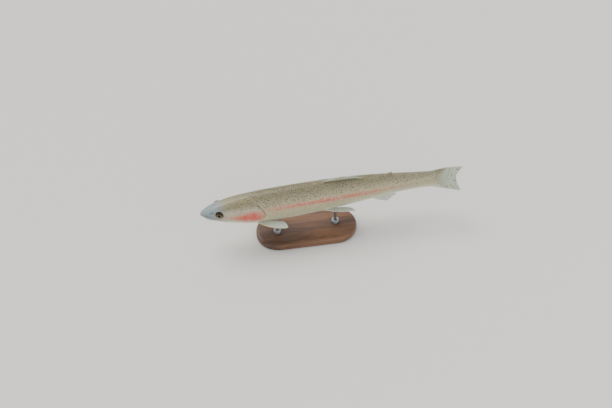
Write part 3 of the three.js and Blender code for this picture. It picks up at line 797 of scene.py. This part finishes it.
# ---- Fins ----
RAY_COLUMNS = 14  # columns of the mesh from one ray to the next
MEMBRANE = 0.12  # half the thickness of a fin between its rays, in mm
RAY_HEIGHT = (0.3, 0.1)  # mm that a ray stands out, at its root and at its tip
RIPPLE = 0.16  # mm that the rays swing to one side and the membrane to the other
SCALLOP = 0.012  # the rim's dip between two rays, as a share of their length
RIM_THINS, EDGES_THIN = 0.6, 0.35  # thickness left at the rim, and at the first and last ray
RAY_GAP, RAY_JOINT = 2.4, 1.4  # mm from ray to ray and from joint to joint, for the fins' patterns
PLAIN_FIN = {
    "ragged": 0.01, "torn": 0.05, "wave": 0.5, "waves": 1.3, "fading": 2, "rays_rise": (-0.05, 0.05),
}
FIN_LOOKS = {
    # in the order they are built, with their rays and the rows of their meshes
    "dorsal": {"rays": 13, "rows": 60, "wave": 0.7},
    "anal": {"rays": 12, "rows": 48},
    "pectoral": {"rays": 14, "rows": 66},
    "pelvic": {"rays": 10, "rows": 60},
    "tail": {
        "rays": 20, "rows": 84, "wave": 0.6, "ragged": 0.006, "torn": 0.02, "rays_rise": (0.12, 0.42),
        "fading": TAIL["fading"],
    },
    "adipose": {"rays": 4, "rows": 30, "wave": 0, "ragged": 0, "torn": 0, "fading": 0.8},
}
FIN_COLOURS = {
    # root, tip, leading edge, strength of the spots, mm between them
    "dorsal": ("dorsal_root", "dorsal_tip", "dorsal_tip", 0.8, 3.6),
    "anal": ("anal_root", "pale_fin", "fin_edge", 0.0, 5.0),
    "pectoral": ("pectoral_root", "pale_fin", "yellow_edge", 0.0, 5.0),
    "pelvic": ("pectoral_root", "pale_fin", "fin_edge", 0.0, 5.0),
    "tail": ("tail_root", "tail_tip", "tail_edge", 0.85, 2.9),
    "adipose": ("back", "fat_fin", "fat_fin", 0.6, 3.6),
}


def ray_shape(u, t, rays):
    """How much of a ray there is, from 0 to 1, at u rays behind the leading one and share t of its
    length. Rays split in two, and in two again."""
    ray = np.clip(np.round(u), 0, rays - 1)
    whole = np.where(ray == 0, 0.0, np.where(ray == 1, 0.5, 1.0))
    first = 0.2 * ramp(0.25, 0.5, t) * whole
    second = 0.095 * ramp(0.55, 0.8, t) * whole
    wide = mixed(0.2, 0.075, ramp(0.1, 0.75, t))
    twigs = [bell(u - ray - a * first - b * second, wide) for a in (-1, 1) for b in (-1, 1)]
    return np.max(twigs, axis=0)


def plan_sheet(plan, right):
    """The middle of a fin, as a function of f, from leading to trailing ray, and t, from root to tip."""
    plan = {"fanning": 1, "lean": 0, "droop": 0, "bulge": 0, "cup": 0, **plan}

    def middle(f, t):
        at = mixed(*plan["along"], f)
        if "ridge" in plan:
            lateral, up = 0 * f, plan["ridge"] * (half_height(at, plan["ridge"]) - plan["sunk"])
        else:
            lateral, up = right * mixed(*plan["lateral"], f), mixed(*plan["up"], f)
        rounding = ramp(-plan["fullAt"] / 2, plan["fullAt"], f)
        length = mixed(*plan["length"], f ** plan["fanning"]) * mixed(plan["shortest"], 1, rounding)
        rise, out = np.radians(mixed(*plan["rise"], f)), np.radians(right * mixed(*plan["out"], f))
        level = length * np.cos(rise) * t
        sideways = right * (plan["lean"] * t * t + plan["bulge"] * (1 - f) * np.sin(np.pi * t))
        upwards = plan["droop"] * t * t + plan["cup"] * np.sin(np.pi * f) * t
        return np.stack([
            at * LENGTH + level * np.cos(out),
            lateral + level * np.sin(out) + sideways,
            up + length * np.sin(rise) * t + upwards,
        ], -1), length

    return middle


def tail_middle(f, t):
    height = 1 - 2 * f
    half = half_height(BODY_END, height) - COAT - TAIL["edge_sunk"]
    fork = TAIL["fork"] * (1 - np.abs(height) ** TAIL["forkShape"])
    root, tip = BODY_END * LENGTH, (1 - fork) * LENGTH
    up = mixed(height * half, height * TAIL["spread"] * LENGTH, np.sin(t * np.pi / 2))
    curl = TAIL["curl"] * t * t * height**2
    return np.stack([mixed(root, tip, t), curl, up], -1), tip - root


def tail_flesh(f):
    """Half the thickness of the flesh at the root of the tail fin, a little under the skin."""
    side = side_size(np.sqrt(BODY_END)) - COAT - MEMBRANE - TAIL["side_sunk"]
    return side * np.sqrt(np.clip(1 - (1 - 2 * f) ** 2, 0, 1))


def build_fin(name, middle, flesh, look, material):
    """A fin as a closed sheet, with rays that stand out of both of its sides. flesh gives half the
    thickness of its root as a function of f."""
    look = {**PLAIN_FIN, **look}
    rays = look["rays"]
    columns = np.linspace(0, rays - 1, (rays - 1) * RAY_COLUMNS + 1)
    u, t = np.meshgrid(columns, np.linspace(0, 1, look["rows"] + 1), indexing="ij")
    f = u / (rays - 1)
    drawn = rng.uniform(0, 1, (3, rays + 1))
    between = np.floor(np.clip(u, 0, rays - 1 - 1e-6)).astype(int)
    gap = u - between
    ends = np.interp(u, np.arange(rays + 1), 1 - look["ragged"] * drawn[0])
    ends -= SCALLOP * np.abs(np.sin(np.pi * gap))
    ends -= look["torn"] * (drawn[1][between] > 0.6) * drawn[2][between] * bell(gap - 0.5, 0.1)
    share = t * ends
    straight, length = middle(f, share)
    wave = np.sin(2 * np.pi * (look["waves"] * f + 0.15) + 2.2 * share)
    ripple = RIPPLE * share * np.cos(2 * np.pi * u) * ramp(0, 0.3, share)
    across = straight[..., 1] + look["wave"] * share**2 * wave + ripple
    sheet = place(straight[..., 0], across, straight[..., 2])
    ray = ray_shape(u, share, rays)
    half = MEMBRANE + flesh(f) * (1 - share) ** look["fading"]
    half += ray * mixed(*RAY_HEIGHT, share) * ramp(*look["rays_rise"], share)
    half *= mixed(1, RIM_THINS, ramp(0.97, 1, t))
    half[[0, -1]] *= EDGES_THIN
    normal = unit(np.cross(np.gradient(sheet, axis=1), np.gradient(sheet, axis=0)))
    points = np.concatenate([(sheet + s * normal * half[..., None]).reshape(-1, 3) for s in (1, -1)])
    near = np.arange(u.size).reshape(u.shape)
    loop = np.concatenate([near[:, 0], near[-1, 1:], near[-2::-1, -1], near[0, -2:0:-1]])
    after = np.roll(loop, -1)
    faces = [sheet_faces(near)[:, ::-1], sheet_faces(near + u.size)]
    faces.append(np.stack([after, loop, loop + u.size, after + u.size], -1))
    values = {"ray": (ray, f, share), "web": (u * RAY_GAP, share * length, np.zeros(u.shape))}
    attributes = {key: np.tile(np.stack(v, -1).reshape(-1, 3), (2, 1)) for key, v in values.items()}
    make_piece(f"{name}_sheet", points, faces, "fin", material, [name], attributes)


def build_fins():
    materials = {name: fin_material(name, *FIN_COLOURS[name]) for name in FIN_COLOURS}
    for name, look in FIN_LOOKS.items():
        if name == "tail":
            build_fin("fin_tail", tail_middle, tail_flesh, look, materials["tail"])
            continue
        plan = FINS[name]

        def flesh(f, thick=plan["thick"]):
            return thick / 2 * (1 - np.abs(2 * f - 1) ** 10)

        for side, right in (("", 1),) if "ridge" in plan else (("_left", -1), ("_right", 1)):
            build_fin(f"fin_{name}{side}", plan_sheet(plan, right), flesh, look, materials[name])


# ---- Eyes ----
EYE_RINGS, EYE_SIDES = 44, 72
EYE_SHARE = 0.985  # the eyeball's size over that of its solid
EYE_ENDS = 150  # degrees round from the pupil to where the ball's back is cut flat
PUPIL = 3.0
HIDDEN = 9.0  # what the back of the ball has for its radius, so that it is dark


def build_eyes(material):
    turn = math.radians(EYE["turn"])
    angle = np.radians(np.linspace(0, EYE_ENDS, EYE_RINGS + 1)[1:])[:, None]
    radius = EYE["radius"] * np.sin(angle) * EYE_SHARE
    depth = EYE["bulge"] * np.cos(angle) * EYE_SHARE
    across, up = radius * np.cos(circle(EYE_SIDES)), radius * np.sin(circle(EYE_SIDES))
    shown = np.broadcast_to(np.where(depth > 0, radius, HIDDEN), across.shape)
    iris = np.concatenate([np.stack([across, up, shown], -1).reshape(-1, 3), [[0, 0, 0], [0, 0, HIDDEN]]])
    for name, right in (("left", -1), ("right", 1)):
        out = np.array([-math.sin(turn), right * math.cos(turn), 0])
        rear = np.array([math.cos(turn), right * math.sin(turn), 0])
        centre = place(EYE["along"], right * EYE["lateral"], EYE["up"])
        rings = centre + across[..., None] * rear + up[..., None] * np.array([0, 0, 1.0])
        ends = centre + np.array([[EYE["bulge"] * EYE_SHARE], depth[-1]]) * out
        points, faces = ringed(rings + depth[..., None] * out, ends)
        make_piece(f"eye_{name}_ball", points, faces, "eye", material, [f"eye_{name}"], {"iris": iris})


# ---- Stand ----
BASE = {"length": 172.0, "width": 74.0, "height": 12.0, "bevel": 2.5, "sides": 128, "middle": 8}
ROD = {"radius": 2.5, "at": (0.29, 0.515), "in_base": 8.0, "in_body": 9.0, "bevel": 0.5}
ROD_SIDES, COLLAR_SIDES = 64, 80
COLLAR = {
    "radius": 6.5, "height": 5.0, "gap": 0.05, "bevel": 0.18, "slope": (0.9, 0.8), "dish": (0.5, 0.4),
    "groove": {"from": 1.4, "step": 0.3, "deep": 0.5},
}
GAP = 0.3  # mm between the solids of the base and the collar


def rounded(corners, radius, steps=5):
    """A profile with its corners rounded. Its first and last points stay."""
    corners = np.array(corners, float)
    made = [corners[0]]
    for before, here, after in zip(corners[:-2], corners[1:-1], corners[2:]):
        sides = [(p - here, np.hypot(*(p - here))) for p in (before, after)]
        start, end = (here + side / long * min(radius, long / 2) for side, long in sides)
        for share in np.linspace(0, 1, steps):
            point = mixed(mixed(start, here, share), mixed(here, end, share), share)
            if not np.allclose(point, made[-1]):
                made.append(point)
    return np.array([*made, corners[-1]])


def lathe(profile, centre, sides):
    """Points and faces of a solid turned about an upright axis, from (radius, height) pairs that start
    and end on it."""
    radius, height = profile[1:-1].T[..., None]
    turn = circle(sides)
    x, y = centre[0] + radius * np.cos(turn), centre[1] + radius * np.sin(turn)
    ends = [[*centre[:2], profile[end, 1]] for end in (0, -1)]
    return ringed(np.stack([x, y, np.broadcast_to(height, x.shape)], -1), ends)


def build_base(material):
    """Rounded outlines stacked up, from the middle of the underside to the middle of the top."""
    end, tall, middle = BASE["width"] / 2, BASE["height"], BASE["middle"]
    turn = circle(BASE["sides"]) + np.pi / BASE["sides"]
    shift = (BASE["length"] / 2 - end) * np.sign(np.cos(turn))
    profile = rounded([(middle, 0), (end, 0), (end, tall - 0.01), (middle, tall)], BASE["bevel"], 7)
    radius, height = profile.T[..., None]
    x = shift * radius / end + radius * np.cos(turn)
    rings = np.stack([x, radius * np.sin(turn), np.broadcast_to(height, x.shape)], -1)
    points, faces = ringed(rings, [[0, 0, 0], [0, 0, tall]])
    make_piece("stand_plinth", points, faces, "stand_wood", material, ["stand_base"])


def build_rods(material):
    r, tall = ROD["radius"], BASE["height"]
    for name, at in zip(("front", "rear"), ROD["at"]):
        centre = place(at * LENGTH, 0.0, 0.0)
        foot, head = tall - ROD["in_base"], AXIS_HEIGHT - half_height(at, -1) + ROD["in_body"]
        outline = [(0, foot), (r, foot), (r, head), (0, head)]
        rod = lathe(rounded(outline, ROD["bevel"]), centre, ROD_SIDES)
        make_piece(f"stand_pin_{name}", *rod, "stand_steel", material, [f"stand_rod_{name}"])
        low, high, wide = tall + COLLAR["gap"], tall + GAP + COLLAR["height"], COLLAR["radius"]
        groove, step = low + COLLAR["groove"]["from"], COLLAR["groove"]["step"]
        waist = wide - COLLAR["groove"]["deep"]
        slope, dish = COLLAR["slope"], COLLAR["dish"]
        outline = [
            (0, low), (wide, low), (wide, groove), (waist, groove + step), (waist, groove + 2 * step),
            (wide, groove + 3 * step), (wide, high - slope[1]), (wide - slope[0], high),
            (r + dish[0], high), (r + dish[0] - dish[1], high - dish[0]), (0, high - dish[0]),
        ]
        ring = lathe(rounded(outline, COLLAR["bevel"], 3), centre, COLLAR_SIDES)
        make_piece(f"stand_ring_{name}", *ring, "stand_steel", material, [f"stand_collar_{name}"])


# ---- Camera, lights and floor ----
PHOTO = {
    "width": 612, "height": 408, "snout": (200, 214), "px_per_mm": 0.5995, "azimuth": -9.4,
    "elevation": 48.0,
}
CAMERA_DISTANCE = 3.6
SENSOR = 36.0
LIT = Vector((0, 0, 0.08))  # what the lights point at


def add_object(name, data, location, back):
    made = bpy.data.objects.new(name, data)
    made.location = location
    made.rotation_mode = "QUATERNION"
    made.rotation_quaternion = back.to_track_quat("Z", "Y")
    bpy.context.scene.collection.objects.link(made)
    return made


def build_camera():
    turn, tilt = math.radians(PHOTO["azimuth"]), math.radians(PHOTO["elevation"])
    back = Vector((math.sin(turn) * math.cos(tilt), -math.cos(turn) * math.cos(tilt), math.sin(tilt)))
    right = Vector((math.cos(turn), math.sin(turn), 0))
    scale = PHOTO["px_per_mm"] / MM
    over = (PHOTO["width"] / 2 - PHOTO["snout"][0]) / scale
    above = (PHOTO["snout"][1] - PHOTO["height"] / 2) / scale
    target = Vector(place(0.0, 0.0, 0.0) * MM) + right * over + back.cross(right) * above
    data = bpy.data.cameras.new("camera")
    data.sensor_width = SENSOR
    data.lens = SENSOR * CAMERA_DISTANCE / (PHOTO["width"] / scale)
    data.clip_end = 50
    bpy.context.scene.camera = add_object("camera", data, target + back * CAMERA_DISTANCE, back)


def add_light(name, kind, energy, location, colour, **settings):
    data = bpy.data.lights.new(name, kind)
    data.energy, data.color = energy, colour
    for key, value in settings.items():
        setattr(data, key, value)
    add_object(name, data, location, Vector(location) - LIT)


def build_studio():
    world = bpy.data.worlds.new("studio")
    bpy.context.scene.world = world
    world.use_nodes = True
    background = world.node_tree.nodes["Background"]
    background.inputs["Color"].default_value = (0.95, 0.97, 1.0, 1)
    background.inputs["Strength"].default_value = 0.92
    add_light("key", "SUN", 2.7, (-0.9, 0.8, 2.4), (1.0, 0.98, 0.95), angle=math.radians(40))
    add_light("fill", "AREA", 9, (0.9, -1.7, 1.1), (0.95, 0.97, 1.0), size=1.8)
    bpy.ops.mesh.primitive_plane_add(size=60)
    floor = bpy.context.active_object
    floor.name = "floor"
    floor.data.materials.append(floor_material())


# ---- Materials ----
COLOURS = {
    # 0-255 screen values
    "flank": (186, 174, 136), "back": (132, 123, 90), "belly": (230, 228, 206), "stripe": (214, 112, 92),
    "lower_flank": (212, 210, 168), "spot": (40, 38, 32), "snout": (128, 142, 145),
    # The next two lines hold the colour of painted shade, for the head's creases, slits and pits, and the
    # silvery colour of painted glints on single scales.
    "cheek": (184, 174, 150), "blush": (204, 80, 62), "throat": (222, 218, 196), "painted_shade": (50, 34, 30),
    "silver_glint": (206, 208, 204), "dorsal_root": (160, 157, 128), "dorsal_tip": (212, 218, 196),
    "fat_fin": (164, 160, 130), "tail_root": (180, 174, 146), "tail_tip": (219, 228, 206),
    "tail_edge": (218, 220, 202), "anal_root": (208, 206, 180), "pectoral_root": (218, 213, 190),
    "pale_fin": (228, 232, 221), "yellow_edge": (226, 214, 160), "fin_edge": (236, 236, 226),
    "fin_web": (172, 178, 168), "iris_dark": (84, 68, 42), "iris_light": (150, 128, 84),
    "iris_smudge": (36, 31, 24), "iris_ring": (170, 146, 88), "iris_rim": (30, 26, 22),
    "pupil": (3, 4, 5), "walnut_dark": (66, 42, 28), "walnut_light": (120, 82, 54),
    "walnut_pore": (38, 24, 16), "steel_dark": (146, 148, 150), "steel_light": (178, 180, 182),
    "floor": (214, 212, 206),
}


def linear(name):
    channels = [c / 255 for c in COLOURS[name]]
    return (*[c / 12.92 if c <= 0.04045 else ((c + 0.055) / 1.055) ** 2.4 for c in channels], 1.0)


class Graph:
    """A short way to write a material's nodes. A value is a number, the name of a colour or another
    node's output."""

    def __init__(self, name):
        self.material = bpy.data.materials.new(name)
        self.material.use_nodes = True
        self.tree = self.material.node_tree
        self.shader = self.tree.nodes["Principled BSDF"]

    def add(self, kind, inputs=(), **settings):
        node = self.tree.nodes.new(kind)
        for key, value in settings.items():
            setattr(node, key, value)
        for key, value in dict(inputs).items():
            self.feed(node.inputs[key], value)
        return node

    def feed(self, socket, value):
        if isinstance(value, bpy.types.NodeSocket):
            self.tree.links.new(value, socket)
        else:
            socket.default_value = linear(value) if isinstance(value, str) else value

    def math(self, operation, *values):
        return self.add("ShaderNodeMath", dict(enumerate(values)), operation=operation).outputs[0]

    def plus(self, a, b):
        return self.math("ADD", a, b)

    def minus(self, a, b):
        return self.math("SUBTRACT", a, b)

    def times(self, a, b):
        return self.math("MULTIPLY", a, b)

    def swing(self, value, by):
        """How far a value from 0 to 1 is from its middle, times by."""
        return self.times(self.minus(value, 0.5), by)

    def step(self, value, low, high, to_low=0.0, to_high=1.0):
        """Turns smoothly from to_low to to_high as value goes from low to high."""
        inputs = {"Value": value, "From Min": low, "From Max": high, "To Min": to_low, "To Max": to_high}
        return self.add("ShaderNodeMapRange", inputs, interpolation_type="SMOOTHSTEP").outputs["Result"]

    def mix(self, share, a, b, blend="MIX"):
        node = self.add("ShaderNodeMix", data_type="RGBA", blend_type=blend)
        for index, value in ((0, share), (6, a), (7, b)):
            self.feed(node.inputs[index], value)
        return node.outputs[2]

    def layers(self, colour, *layers):
        """Covers a colour with others in turn, each a pair of its share and itself."""
        for share, over in layers:
            colour = self.mix(share, colour, over)
        return colour

    def toned(self, colour, tone):
        grey = self.add("ShaderNodeCombineColor", {0: tone, 1: tone, 2: tone}).outputs[0]
        return self.mix(1.0, colour, grey, "MULTIPLY")

    def attribute(self, name):
        """The three parts of one of the mesh's attributes."""
        return self.parts(self.add("ShaderNodeAttribute", attribute_name=name).outputs["Vector"])

    def parts(self, vector):
        return self.add("ShaderNodeSeparateXYZ", {0: vector}).outputs[:]

    def vector(self, x, y, z=0.0):
        return self.add("ShaderNodeCombineXYZ", {0: x, 1: y, 2: z}).outputs[0]

    def place(self, *scale):
        """The place on the model in metres, drawn out by a scale for each direction if they are given."""
        place = self.add("ShaderNodeTexCoord").outputs["Object"]
        if not scale:
            return place
        return self.add("ShaderNodeVectorMath", {0: place, 1: scale}, operation="MULTIPLY").outputs[0]

    def noise(self, vector, scale, detail=3.0, roughness=0.5, distortion=0.0):
        inputs = {
            "Vector": vector, "Scale": scale, "Detail": detail, "Roughness": roughness,
            "Distortion": distortion,
        }
        return self.add("ShaderNodeTexNoise", inputs).outputs["Fac"]

    def cells(self, x, y, gap, randomness=1.0):
        """(distance to the nearest cell's centre, a random number of that cell, another one)."""
        inputs = {"Vector": self.vector(x, y), "Scale": 1 / gap, "Randomness": randomness}
        node = self.add("ShaderNodeTexVoronoi", inputs, voronoi_dimensions="2D", feature="F1")
        colour = self.add("ShaderNodeSeparateColor", {0: node.outputs["Color"]})
        return node.outputs["Distance"], colour.outputs[0], colour.outputs[1]

    def bump(self, height, strength, distance):
        inputs = {"Height": height, "Strength": strength, "Distance": distance}
        return self.add("ShaderNodeBump", inputs).outputs[0]

    def finish(self, **inputs):
        for key, value in inputs.items():
            self.feed(self.shader.inputs[key.replace("_", " ")], value)
        return self.material


def floor_material():
    return Graph("floor").finish(Base_Color="floor", Roughness=0.85)


def fish_colours(g):
    """The markings' colour, and masks of the back and the spots, for skin and scales alike."""
    where = g.place()
    back, stripe, belly = g.attribute("zones")
    head, blush, painted_shade = g.attribute("face")
    along, girth, _ = g.attribute("lie")
    shift = g.swing(g.noise(where, 42, 4.0), 0.45)
    low = g.plus(belly, shift)
    ragged = g.step(g.noise(where, 110, 4.0, 0.6), 0.3, 0.66, 0.6, 1.0)
    face = g.layers(
        "cheek", (g.step(back, 0.05, 0.75), "back"),
        (g.step(g.plus(along, g.times(shift, 40)), 50, 14), "snout"), (g.step(low, 0.05, 0.5), "throat"),
    )
    colour = g.layers(
        "flank", (g.step(low, -0.12, 0.34), "lower_flank"), (g.step(low, 0.3, 0.9), "belly"),
        (g.plus(back, shift), "back"), (g.step(along, 290, 410, 0.0, 0.4), "tail_root"), (head, face),
        (g.times(stripe, ragged), "stripe"), (g.times(blush, ragged), "blush"),
    )
    colour = g.toned(colour, g.step(g.noise(where, 420), 0.25, 0.75, 0.88, 1.1))
    # Spots: one in most cells of a loose net, each with its own size, thinning out below the stripe.
    wobble = g.swing(g.noise(where, 700, 2.0), 1.5)
    distance, chance, size = g.cells(g.plus(along, wobble), g.minus(girth, wobble), 3.4)
    wanted = g.times(g.step(back, 0.0, 0.26, 0.0, 0.95), g.step(along, 14, 66, 0.1, 1.0))
    wanted = g.math("MAXIMUM", wanted, g.times(g.step(belly, 0.1, 0.0), 0.16))
    grown = g.step(g.minus(wanted, chance), 0.0, 0.14)
    radius = g.times(g.math("MULTIPLY_ADD", size, 0.16, 0.12), g.step(along, 15, 90, 0.72, 1.0))
    radius = g.math("MULTIPLY_ADD", radius, grown, g.math("MULTIPLY_ADD", grown, 0.12, -0.12))
    spot = g.times(g.step(g.minus(distance, radius), 0.07, -0.06), 0.9)
    # Painted shade darkens the head's creases, slits and pits last of all.
    return g.layers(colour, (spot, "spot"), (g.times(painted_shade, 0.85), "painted_shade")), back, spot


def skin_material():
    g = Graph("skin")
    colour, back, _ = fish_colours(g)
    where = g.place()
    return g.finish(
        Base_Color=colour, Roughness=g.step(g.noise(where, 300), 0.3, 0.7, 0.34, 0.48),
        Metallic=g.step(back, 0.8, 0.0, 0.04, 0.2), Normal=g.bump(g.noise(where, 900, 4.0), 0.12, 0.00015),
        Coat_Weight=0.15, Coat_Roughness=0.25,
    )


def scale_material():
    g = Graph("scales")
    colour, back, spot = fish_colours(g)
    plate = g.add("ShaderNodeAttribute", attribute_name="plate").outputs["Vector"]
    far, across, own = g.parts(plate)
    rim = g.math("MAXIMUM", g.step(far, 0.8, 1.0), g.step(g.math("ABSOLUTE", across), 0.75, 1.0))
    colour = g.mix(g.times(rim, g.step(back, 0.0, 1.0, 0.08, 0.4)), colour, "spot")
    colour = g.toned(colour, g.math("MULTIPLY_ADD", own, 0.2, 0.9))
    # Painted glints: random scales off the back are mixed towards a silvery colour, as though single scales
    # caught the light.
    painted_glint = g.times(g.step(own, 0.55, 1.0, 0.0, 0.3), g.step(back, 0.7, 0.0))
    colour = g.mix(g.times(painted_glint, g.step(spot, 0.4, 0.0)), colour, "silver_glint")
    shine = g.times(g.step(back, 0.9, 0.0, 0.06, 0.3), g.step(spot, 0.0, 0.5, 1.0, 0.2))
    rings = g.add("ShaderNodeTexWave", {"Vector": plate, "Scale": 3.2}, wave_type="RINGS")
    return g.finish(
        Base_Color=colour, Roughness=g.math("MULTIPLY_ADD", own, 0.1, 0.3), Metallic=shine,
        Normal=g.bump(rings.outputs["Fac"], 0.1, 0.00005), Coat_Weight=0.3, Coat_Roughness=0.2,
    )


def fin_material(name, root, tip, edge, spots, spot_gap):
    g = Graph(f"fin_{name}")
    ray, f, share = g.attribute("ray")
    spread, reach, _ = g.attribute("web")
    where = g.place()
    patchy = g.noise(where, 90, 4.0)
    shift = g.swing(patchy, 0.4)
    colour = g.mix(g.step(g.plus(share, shift), 0.0, 0.7), root, tip)
    colour = g.mix(g.step(ray, 0.1, 0.8), g.mix(0.3, colour, "fin_web"), colour)
    leading = g.times(g.step(f, 0.11, 0.02), g.step(share, 0.0, 0.25, 0.4, 1.0))
    colour = g.mix(leading, colour, edge)
    if name == "tail":  # the flank's colours run onto its foot, and fade out between the rays
        side = g.layers(
            "flank", (g.step(f, 0.45, 0.8), "lower_flank"), (g.step(f, 0.7, 0.98), "belly"),
            (g.step(f, 0.4, 0.05, 0.0, 0.6), "back"),
        )
        rim = g.times(g.math("ABSOLUTE", g.minus(f, 0.5)), 0.4)
        scaled = g.minus(g.plus(share, g.times(shift, 0.5)), rim)
        colour = g.mix(g.step(scaled, 0.34, 0.1), colour, side)
    joints = g.math("SINE", g.times(reach, 2 * math.pi / RAY_JOINT))
    jointed = g.times(g.times(ray, g.step(joints, 0.2, 0.9)), g.step(share, 0.15, 0.35, 0.0, 0.3))
    colour = g.mix(jointed, colour, g.mix(0.5, root, "spot"))
    if spots:
        wobble = g.swing(g.noise(where, 700, 2.0), 1.6)
        along = g.times(g.plus(reach, wobble), 0.72)
        distance, chance, size = g.cells(g.plus(spread, wobble), along, spot_gap, 0.95)
        radius = g.math("MULTIPLY_ADD", size, 0.16, 0.1)
        spot = g.times(g.step(g.minus(distance, radius), 0.08, -0.06), g.math("LESS_THAN", chance, 0.86))
        colour = g.mix(g.times(spot, spots), colour, "spot")
    height = g.plus(g.times(ray, 0.5), g.times(g.times(joints, ray), 0.15))
    translucent = g.add("ShaderNodeBsdfTranslucent", {"Color": colour})
    both = {0: 0.3, 1: g.shader.outputs[0], 2: translucent.outputs[0]}
    mixer = g.add("ShaderNodeMixShader", both)
    g.feed(g.tree.nodes["Material Output"].inputs["Surface"], mixer.outputs[0])
    return g.finish(
        Base_Color=colour, Roughness=g.step(patchy, 0.3, 0.7, 0.35, 0.5),
        Normal=g.bump(height, 0.25, 0.0001), Coat_Weight=0.2, Coat_Roughness=0.25,
    )


def eye_material():
    g = Graph("eye")
    iris = g.add("ShaderNodeAttribute", attribute_name="iris").outputs["Vector"]
    across, up, radius = g.parts(iris)
    # The pupil has a slight peak towards the snout.
    forward = g.step(across, 0.0, -3.0)
    out = g.minus(radius, g.math("MULTIPLY_ADD", g.times(forward, forward), 0.55, PUPIL))
    angle = g.math("ARCTAN2", up, across)
    spokes = g.noise(g.vector(angle, g.times(radius, 0.12)), 9.0, 4.0, 0.7)
    dark = g.plus(g.step(up, -0.8, 3.2), g.step(g.noise(iris, 0.35), 0.48, 0.64))
    smudge = g.math("MINIMUM", dark, 0.88)
    colour = g.layers(
        "iris_dark", (g.step(spokes, 0.25, 0.75), "iris_light"), (smudge, "iris_smudge"),
        (g.step(out, 0.42, 0.22), "iris_ring"), (g.step(radius, 5.6, 6.4), "iris_rim"),
        (g.step(out, 0.1, -0.1), "pupil"),
    )
    return g.finish(
        Base_Color=colour, Roughness=g.step(out, 0.0, 0.2, 0.12, 0.34),
        Metallic=g.times(g.step(out, 0.0, 0.2), g.step(radius, 6.2, 5.6, 0.0, 0.55)),
        Specular_IOR_Level=0.05, Coat_Weight=0.3, Coat_Roughness=0.03,
    )


def wood_material():
    g = Graph("stand_wood")
    wave = g.noise(g.place(6.0, 60.0, 60.0), 1.2, 6.0, 0.6, 0.8)
    bend = g.noise(g.place(4.0, 14.0, 14.0), 1.0, 2.0)
    pores = g.noise(g.place(60.0, 900.0, 900.0), 1.0, 2.0)
    grain = g.step(g.plus(wave, g.times(bend, 0.3)), 0.45, 0.85)
    pore = g.step(pores, 0.6, 0.72, 0.0, 0.6)
    colour = g.layers("walnut_dark", (grain, "walnut_light"), (pore, "walnut_pore"))
    return g.finish(
        Base_Color=colour, Roughness=g.step(wave, 0.3, 0.7, 0.42, 0.52), Normal=g.bump(pores, 0.15, 0.0002),
        Coat_Weight=0.15, Coat_Roughness=0.3,
    )


def steel_material():
    g = Graph("stand_steel")
    rings = g.noise(g.place(40.0, 40.0, 5200.0), 1.0)
    return g.finish(
        Base_Color=g.mix(g.step(rings, 0.3, 0.7), "steel_dark", "steel_light"), Metallic=1.0,
        Roughness=g.step(rings, 0.3, 0.7, 0.36, 0.5), Normal=g.bump(rings, 0.08, 0.00005),
    )


build_camera()
build_studio()
build_skin(skin_material())
plates = scale_material()
build_scales(plates)
build_lateral_line(plates)
build_fin_flaps(plates)
build_fins()
build_eyes(eye_material())
build_base(wood_material())
build_rods(steel_material())
